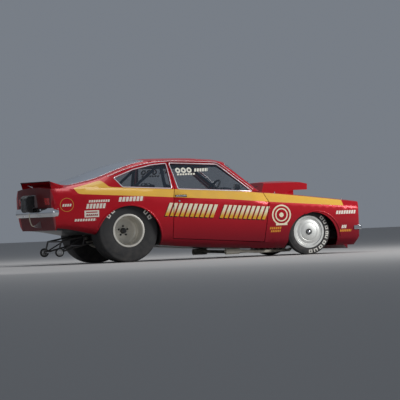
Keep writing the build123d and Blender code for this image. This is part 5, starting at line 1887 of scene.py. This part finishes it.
@dataclass
class Cabin:
    """The pad in the seat, the harness, the gauges, the tachometer and the shifter."""

    maker: Maker
    seat_y: float = 0.376
    pad_outline: Line = (
        (1.13, 0.312), (1.132, 0.338), (0.87, 0.324), (0.806, 0.346), (0.722, 0.818), (0.702, 0.92),
        (0.668, 0.92), (0.664, 0.822), (0.765, 0.308), (0.85, 0.291),
    )
    pad_half: float = 0.158
    seams: tuple[float, ...] = (-0.09, -0.03, 0.03, 0.09)
    seam_depth: float = 0.006
    strap: Flat = (0.046, 0.003)
    shoulder_y: float = 0.075
    shoulder: tuple[Point, ...] = (
        (0.585, 0.8, 0.655), (0.6, 0.8, 0.9), (0.65, 1.0, 1.0), (0.73, 1.0, 0.95), (0.762, 1.0, 0.78),
        (0.82, 0.8, 0.52), (0.905, 0.35, 0.385),
    )
    lap: tuple[Point, ...] = (
        (0.82, 0.172, 0.43), (0.85, 0.135, 0.405), (0.885, 0.07, 0.385), (0.915, 0.02, 0.378),
    )
    gauges_at: Line = ((0.262, 0.021), (0.35, 0.026), (0.438, 0.021))
    gauge_lean: Point = (-1.0, 0.0, 0.17)
    tach: Point = (1.8, 0.06, 0.897)
    tach_lean: Point = (-1.0, 0.1, 0.12)
    lever: tuple[Point, ...] = (
        (1.24, 0.03, 0.512), (1.23, 0.03, 0.612), (1.19, 0.05, 0.732), (1.17, 0.055, 0.782),
    )
    boot: tuple[float, ...] = (0.06, 0.052, 0.054, 0.042, 0.044, 0.03, 0.032, 0.016)

    def build(self) -> None:
        """Makes the loose fittings of the cabin."""
        self.pad()
        self.harness()
        self.gauges()
        self.shifter()

    def pad(self) -> None:
        """The sewn seat pad, a squab and a backrest in one cover."""
        block = prism(self.pad_outline, self.seat_y, self.pad_half, 0.008)
        pad = Padding(voxel=0.007, pressure=4.0, frames=16, cap=0.008).puff(block)
        for vert in pad.bm.verts:
            vert.co -= vert.normal * self.seam_depth * pull(vert.co.y - self.seat_y, self.seams, 0.007)
        obj = self.maker.piece(
            "seat_pad_cover", pad, SEAT_CLOTH, "seat_cloth", replaces=["seat_pad"], angle=60, subdivide=1
        )

    def harness(self) -> None:
        """Shoulder and lap straps with a round buckle."""
        straps = Solid()
        for out in (-1, 1):
            reach = out * self.shoulder_y
            shoulder = [at(x, self.seat_y + reach * share, z) for x, share, z in self.shoulder]
            straps.join(ribbon(eased(shoulder), ACROSS, *self.strap))
            lap = [at(x, self.seat_y + out * y, z) for x, y, z in self.lap]
            straps.join(ribbon(eased(lap), Vector((0.4, 0.0, 1.0)), *self.strap))
        self.maker.piece("harness_straps", straps, HARNESS, "seat_cloth", angle=40)
        buckle = Solid().disc(at(0.92, self.seat_y, 0.384), Vector((0.35, 0.0, 1.0)), 0.034, 0.014, 40)
        self.maker.piece("harness_buckle", buckle, CHROME, "bare_steel", bevel=0.003)

    def gauges(self) -> None:
        """Three gauges in the hooded cluster, and a white-faced tachometer on the dash."""
        cases, faces, needles = Solid(), Solid(), Solid()
        lean = Vector(self.gauge_lean).normalized()
        for y, radius in self.gauges_at:
            spot = at(1.6825, y, 0.879)
            cases.disc(spot + lean * 0.004, lean, radius + 0.003, 0.01, 40)
            faces.disc(spot + lean * 0.0095, lean, radius, 0.0016, 40)
            pivot = spot + lean * 0.0105
            needles.block(pivot - Vector((0.001, 0.0012, 0.0)), pivot + Vector((0.0, 0.0012, radius * 0.8)))
        tach, back = at(*self.tach), Vector(self.tach_lean).normalized()
        cases.disc(tach, back, 0.047, 0.07, 48)
        cases.disc(tach - UP * 0.05, UP, 0.009, 0.05, 20)
        faces.disc(tach + back * 0.0355, back, 0.041, 0.003, 48)
        needles.block_at(tach + back * 0.0372 + UP * 0.014, (0.001, 0.0016, 0.018))
        self.maker.piece("gauge_cases", cases, PLASTIC, "interior_black", bevel=0.001)
        self.maker.piece("gauge_faces", faces, GAUGE_WHITE, "interior_black")
        self.maker.piece("gauge_needles", needles, LAMP_RED, "interior_black")

    def shifter(self) -> None:
        """The gear lever with its knob, in its boot on the tunnel."""
        lever = [at(*point) for point in self.lever]
        self.maker.tube("gear_lever", eased(lever), 0.007, CHROME, "bare_steel")
        knob, boot = Solid(), Solid()
        bmesh.ops.create_uvsphere(
            knob.bm, u_segments=32, v_segments=20, radius=0.024, matrix=Matrix.Translation(lever[-1])
        )
        self.maker.piece("gear_knob", knob, PLASTIC, "interior_black", angle=60)
        for level, radius in enumerate(self.boot):
            boot.join(Solid().disc(lever[0] + UP * (-0.01 + 0.01 * level), UP, radius, 0.01))
        self.maker.piece("gear_boot", boot, PLASTIC, "interior_black", angle=40, bevel=0.002)


# Under the hood and the floor


@dataclass
class EngineBay:
    """Valve covers, carburettors, distributor, pulleys and radiator on the plain engine mass."""

    maker: Maker
    bank_across: Flat = (50.0, 70.0)
    cover_half: Flat = (0.21, 0.036)
    cover_height: float = 0.055
    pulleys: tuple[Point, ...] = ((0.0, 0.285, 0.078), (0.0, 0.47, 0.06), (0.155, 0.43, 0.036))
    pulley_x: float = 2.552
    belt: float = 0.004
    belt_arcs: tuple[tuple[int, int, int], ...] = ((0, 150, 338), (2, -22, 88), (1, 62, 190))
    distributor_x: float = 2.082
    core_half: float = 0.318
    tank_half: float = 0.33
    fins: int = 42

    def build(self) -> None:
        """Makes the engine's outer fittings."""
        self.valve_covers()
        self.carburettors()
        self.distributor()
        self.drive()
        self.radiator()

    def fitting(self, name: str, solid: Solid, finish: Finish, bevel: float = 0.0) -> None:
        """Makes a piece in the engine's own slot."""
        self.maker.piece(name, solid, finish, "engine_metal", bevel=bevel)

    def valve_covers(self) -> None:
        """A cover on each bank, with its bolts and filler cap."""
        covers, bolts = Solid(), Solid()
        outward, upward = self.bank_across
        for side in BOTH:
            across = Vector((0.0, side.value * outward, upward)).normalized()
            out = Vector((0.0, side.value * upward, -outward)).normalized()
            middle = at(2.29, side.value * 0.242, 0.49)
            long, wide = self.cover_half
            cover = Solid().block(Vector((-long, -wide, 0.0)), Vector((long, wide, self.cover_height)))
            turn = Matrix((AHEAD, out, across)).transposed().to_4x4()
            bmesh.ops.transform(cover.bm, matrix=Matrix.Translation(middle) @ turn, verts=cover.bm.verts)
            covers.join(cover)
            for k in range(5):
                bolts.disc(middle + AHEAD * (-0.17 + 0.085 * k) + across * 0.057, across, 0.006, 0.008, 6)
            bolts.disc(middle - AHEAD * 0.13 + across * 0.062, across, 0.022, 0.018, 24)
        self.fitting("valve_covers", covers, CHROME, 0.01)
        self.maker.piece("valve_cover_bolts", bolts, STEEL, "bare_steel")

    def carburettors(self) -> None:
        """Two carburettors on the intake, under the scoop, with their bowls and horns."""
        bodies, horns = Solid(), Solid()
        for x in (2.215, 2.355):
            bodies.block_at(at(x, 0.0, 0.702), (0.06, 0.08, 0.014))
            bodies.block_at(at(x, 0.0, 0.7455), (0.05, 0.055, 0.0295))
            for y in (-0.077, 0.077):
                bodies.block_at(at(x, y, 0.745), (0.034, 0.022, 0.023))
            for dx in (-0.024, 0.024):
                for y in (-0.025, 0.025):
                    horns.disc(at(x + dx, y, 0.785), UP, 0.021, 0.022, 28)
        self.fitting("carburettors", bodies, ALLOY, 0.003)
        self.fitting("carburettor_horns", horns, PLASTIC, 0.002)

    def distributor(self) -> None:
        """The distributor behind the carburettors, with the eight posts of its cap."""
        middle = at(self.distributor_x, 0.0, 0.0)
        cap = Solid().disc(middle + UP * 0.59, UP, 0.034, 0.07).disc(middle + UP * 0.64, UP, 0.046, 0.034)
        for c, s in full_turn(8):
            cap.disc(middle + Vector((0.034 * c, 0.034 * s, 0.664)), UP, 0.007, 0.02, 16)
        self.fitting("distributor", cap, PLASTIC, 0.001)

    def drive(self) -> None:
        """Pulleys and a belt on the engine's front."""
        pulleys = Solid()
        for y, z, radius in self.pulleys:
            pulleys.disc(at(self.pulley_x, y, z), AHEAD, radius, 0.036, 48)
            pulleys.disc(at(self.pulley_x + 0.022, y, z), AHEAD, radius * 0.45, 0.012)
        self.fitting("engine_pulleys", pulleys, ALLOY, 0.002)
        line = []
        for number, start, stop in self.belt_arcs:
            y, z, radius = self.pulleys[number]
            far = radius + self.belt
            line += [at(self.pulley_x, y + far * c, z + far * s) for c, s in arc(start, stop, 12)]
        self.maker.tube("engine_belt", line, self.belt, PLASTIC, "grille_black", cyclic=True)

    def radiator(self) -> None:
        """The radiator behind its support: a finned core between two tanks."""
        core, tanks = Solid(), Solid()
        core.block_at(at(3.009, 0.0, 0.423), (0.019, self.core_half, 0.105))
        for k in range(self.fins):
            y = (self.core_half - 0.006) * (2 * k / (self.fins - 1) - 1)
            core.block_at(at(3.009, y, 0.423), (0.023, 0.0016, 0.105))
        tanks.block_at(at(3.008, 0.0, 0.546), (0.028, self.tank_half, 0.02))
        tanks.block_at(at(3.008, 0.0, 0.305), (0.028, self.tank_half, 0.015))
        tanks.disc(at(3.008, 0.2, 0.572), UP, 0.026, 0.014)
        self.fitting("radiator_core", core, BLACK_PAINT)
        self.fitting("radiator_tanks", tanks, BLACK_PAINT, 0.004)


@dataclass
class Suspension:
    """Coil springs front and rear, and the front brake calipers."""

    maker: Maker
    wire: float = 0.005
    front_spring: tuple[Point, Point, float, int] = (
        (WHEELBASE, 0.474, 0.425), (WHEELBASE, 0.474, 0.546), 0.03, 5,
    )
    rear_spring: tuple[Point, Point, float, int] = (
        (-0.085, 0.2, 0.468), (-0.0915, 0.2, 0.606), 0.0405, 7,
    )
    caliper: Point = (WHEELBASE + 0.119, 0.664, 0.292)
    caliper_half: Point = (0.033, 0.019, 0.04)

    def build(self) -> None:
        """Makes the springs and calipers of both sides."""
        for side in BOTH:
            out, word = side.value, side.word
            for name, (low, high, radius, turns) in (
                ("front_spring", self.front_spring), ("rear_spring", self.rear_spring),
            ):
                ends = [at(x, out * y, z) for x, y, z in (low, high)]
                self.coil(f"{name}_{word}", *ends, radius, turns)
            x, y, z = self.caliper
            block = Solid().block_at(at(x, out * y, z), self.caliper_half)
            self.maker.piece(
                f"brake_caliper_{word}", block, ALLOY, "bare_steel", f"knuckle_{word}", bevel=0.006
            )

    def coil(self, name: str, low: Vector, high: Vector, radius: float, turns: int) -> None:
        """A coil spring between two points.

        Args:
            name: The piece's name.
            low: Its lower end's middle.
            high: Its upper end's middle.
            radius: Its radius.
            turns: Its number of turns.
        """
        along = high - low
        first = along.orthogonal().normalized()
        second = along.normalized().cross(first)
        ring = arc(0.0, 360.0 * turns, turns * 20)
        last = len(ring) - 1
        line = [
            low + along * (step / last) + (first * c + second * s) * radius
            for step, (c, s) in enumerate(ring)
        ]
        self.maker.tube(name, line, self.wire, STEEL, "bare_steel")


# Tether and studio


@dataclass
class Tether:
    """The short cord from the parachute pack to its lug."""

    maker: Maker
    radius: float = 0.006
    length: float = 0.199
    route: tuple[Point, ...] = (
        (-1.095, -0.098, 0.6677), (-1.095, -0.098, 0.636), (-1.094, -0.104, 0.602),
        (-1.09, -0.111, 0.566), (-1.081, -0.117, 0.531), (-1.066, -0.12, 0.501), (-1.0393, -0.12, 0.501),
    )

    def build(self) -> None:
        """Makes the cord as one smooth open spline."""
        points = [at(*point) for point in self.route]
        curve = bar_curve("parachute_cord", points, self.radius, rounds=6, steps=16)
        curve.materials.append(WEBBING.material())
        cord = linked("parachute_cord", curve)
        self.maker.dress(cord, "chassis", "strap_webbing", ["parachute_tether"])


@dataclass
class Studio:
    """The pale floor, the soft lamps and the camera at the photograph's place."""

    distance: float = 60.0
    lens: float = 418.3
    azimuth: float = -20.373
    elevation: float = -0.159
    roll: float = -2.295
    target: Flat = (1.264, 0.755)
    floor_size: float = 60.0
    sky: tuple[float, ...] = (0.72, 0.8, 0.92, 1.0)
    sky_strength: float = 0.26
    soft_lamps: tuple[tuple[str, Point, float, float], ...] = (
        ("key", (10.5, -8.4, 6.2), 5.0, 1490.0),
        ("fill", (-6.5, -6.5, 2.2), 3.0, 40.0),
        ("top", (0.5, 2.2, 7.5), 5.0, 240.0),
    )

    def build(self) -> None:
        """Makes floor, lamps, world and camera."""
        self.floor()
        self.lamps()
        self.camera()

    def stand(
        self, name: str, data: bpy.types.ID, place: Sequence[float], turn: Quaternion
    ) -> Object:
        """Links a lamp or a camera.

        Args:
            name: The object's name.
            data: Its lamp or camera.
            place: Where it stands.
            turn: Its turn.

        Returns:
            The object.
        """
        obj = linked(name, data)
        obj.location, obj.rotation_mode, obj.rotation_quaternion = place, "QUATERNION", turn
        return obj

    def floor(self) -> None:
        """A wide pale floor."""
        bm = bmesh.new()
        bmesh.ops.create_grid(bm, x_segments=1, y_segments=1, size=self.floor_size)
        mesh = bpy.data.meshes.new("studio_floor")
        bm.to_mesh(mesh)
        bm.free()
        mesh.materials.append(FLOOR_PAINT.material())
        linked("studio_floor", mesh)

    def lamps(self) -> None:
        """Three large soft lamps and an even pale world."""
        for name, place, size, power in self.soft_lamps:
            lamp = bpy.data.lights.new(name, "AREA")
            lamp.size, lamp.energy = size, power
            toward = Vector((0.0, 0.0, 0.5)) - Vector(place)
            self.stand(name, lamp, place, toward.to_track_quat("-Z", "Y"))
        world = bpy.data.worlds.new("studio_world")
        world.use_nodes = True
        light = world.node_tree.nodes["Background"].inputs
        light[0].default_value, light[1].default_value = self.sky, self.sky_strength
        bpy.context.scene.world = world

    def camera(self) -> None:
        """A long lens far away, where the photograph was taken from."""
        a, e, r = (math.radians(angle) for angle in (self.azimuth, self.elevation, self.roll))
        back = Vector((math.sin(a) * math.cos(e), -math.cos(a) * math.cos(e), math.sin(e)))
        right = (-back).cross(UP).normalized()
        up = right.cross(-back)
        side, high = math.cos(r) * right + math.sin(r) * up, -math.sin(r) * right + math.cos(r) * up
        data = bpy.data.cameras.new("photo_camera")
        data.lens, data.sensor_width, data.sensor_fit = self.lens, 36.0, "HORIZONTAL"
        data.clip_start, data.clip_end = 1.0, 400.0
        place = at(self.target[0], 0.0, self.target[1]) + back * self.distance
        turn = Matrix((side, high, back)).transposed().to_quaternion()
        bpy.context.scene.camera = self.stand("photo_camera", data, place, turn)


def main() -> None:
    """Builds the whole scene."""
    logging.basicConfig(level=logging.INFO, format="%(message)s")
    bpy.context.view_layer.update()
    bpy.context.scene.view_settings.view_transform = "Standard"
    Groups().build()
    maker = Maker()
    Bare().build()
    for part in (
        Tether, Bodywork, RearWheels, FrontWheels, WheelieWheels, Trim, ParachutePack, Cabin, EngineBay,
        Suspension,
    ):
        part(maker).build()
    Studio().build()
    log.info("%d pieces made", len(maker.made))


if __name__ == "__main__":
    main()
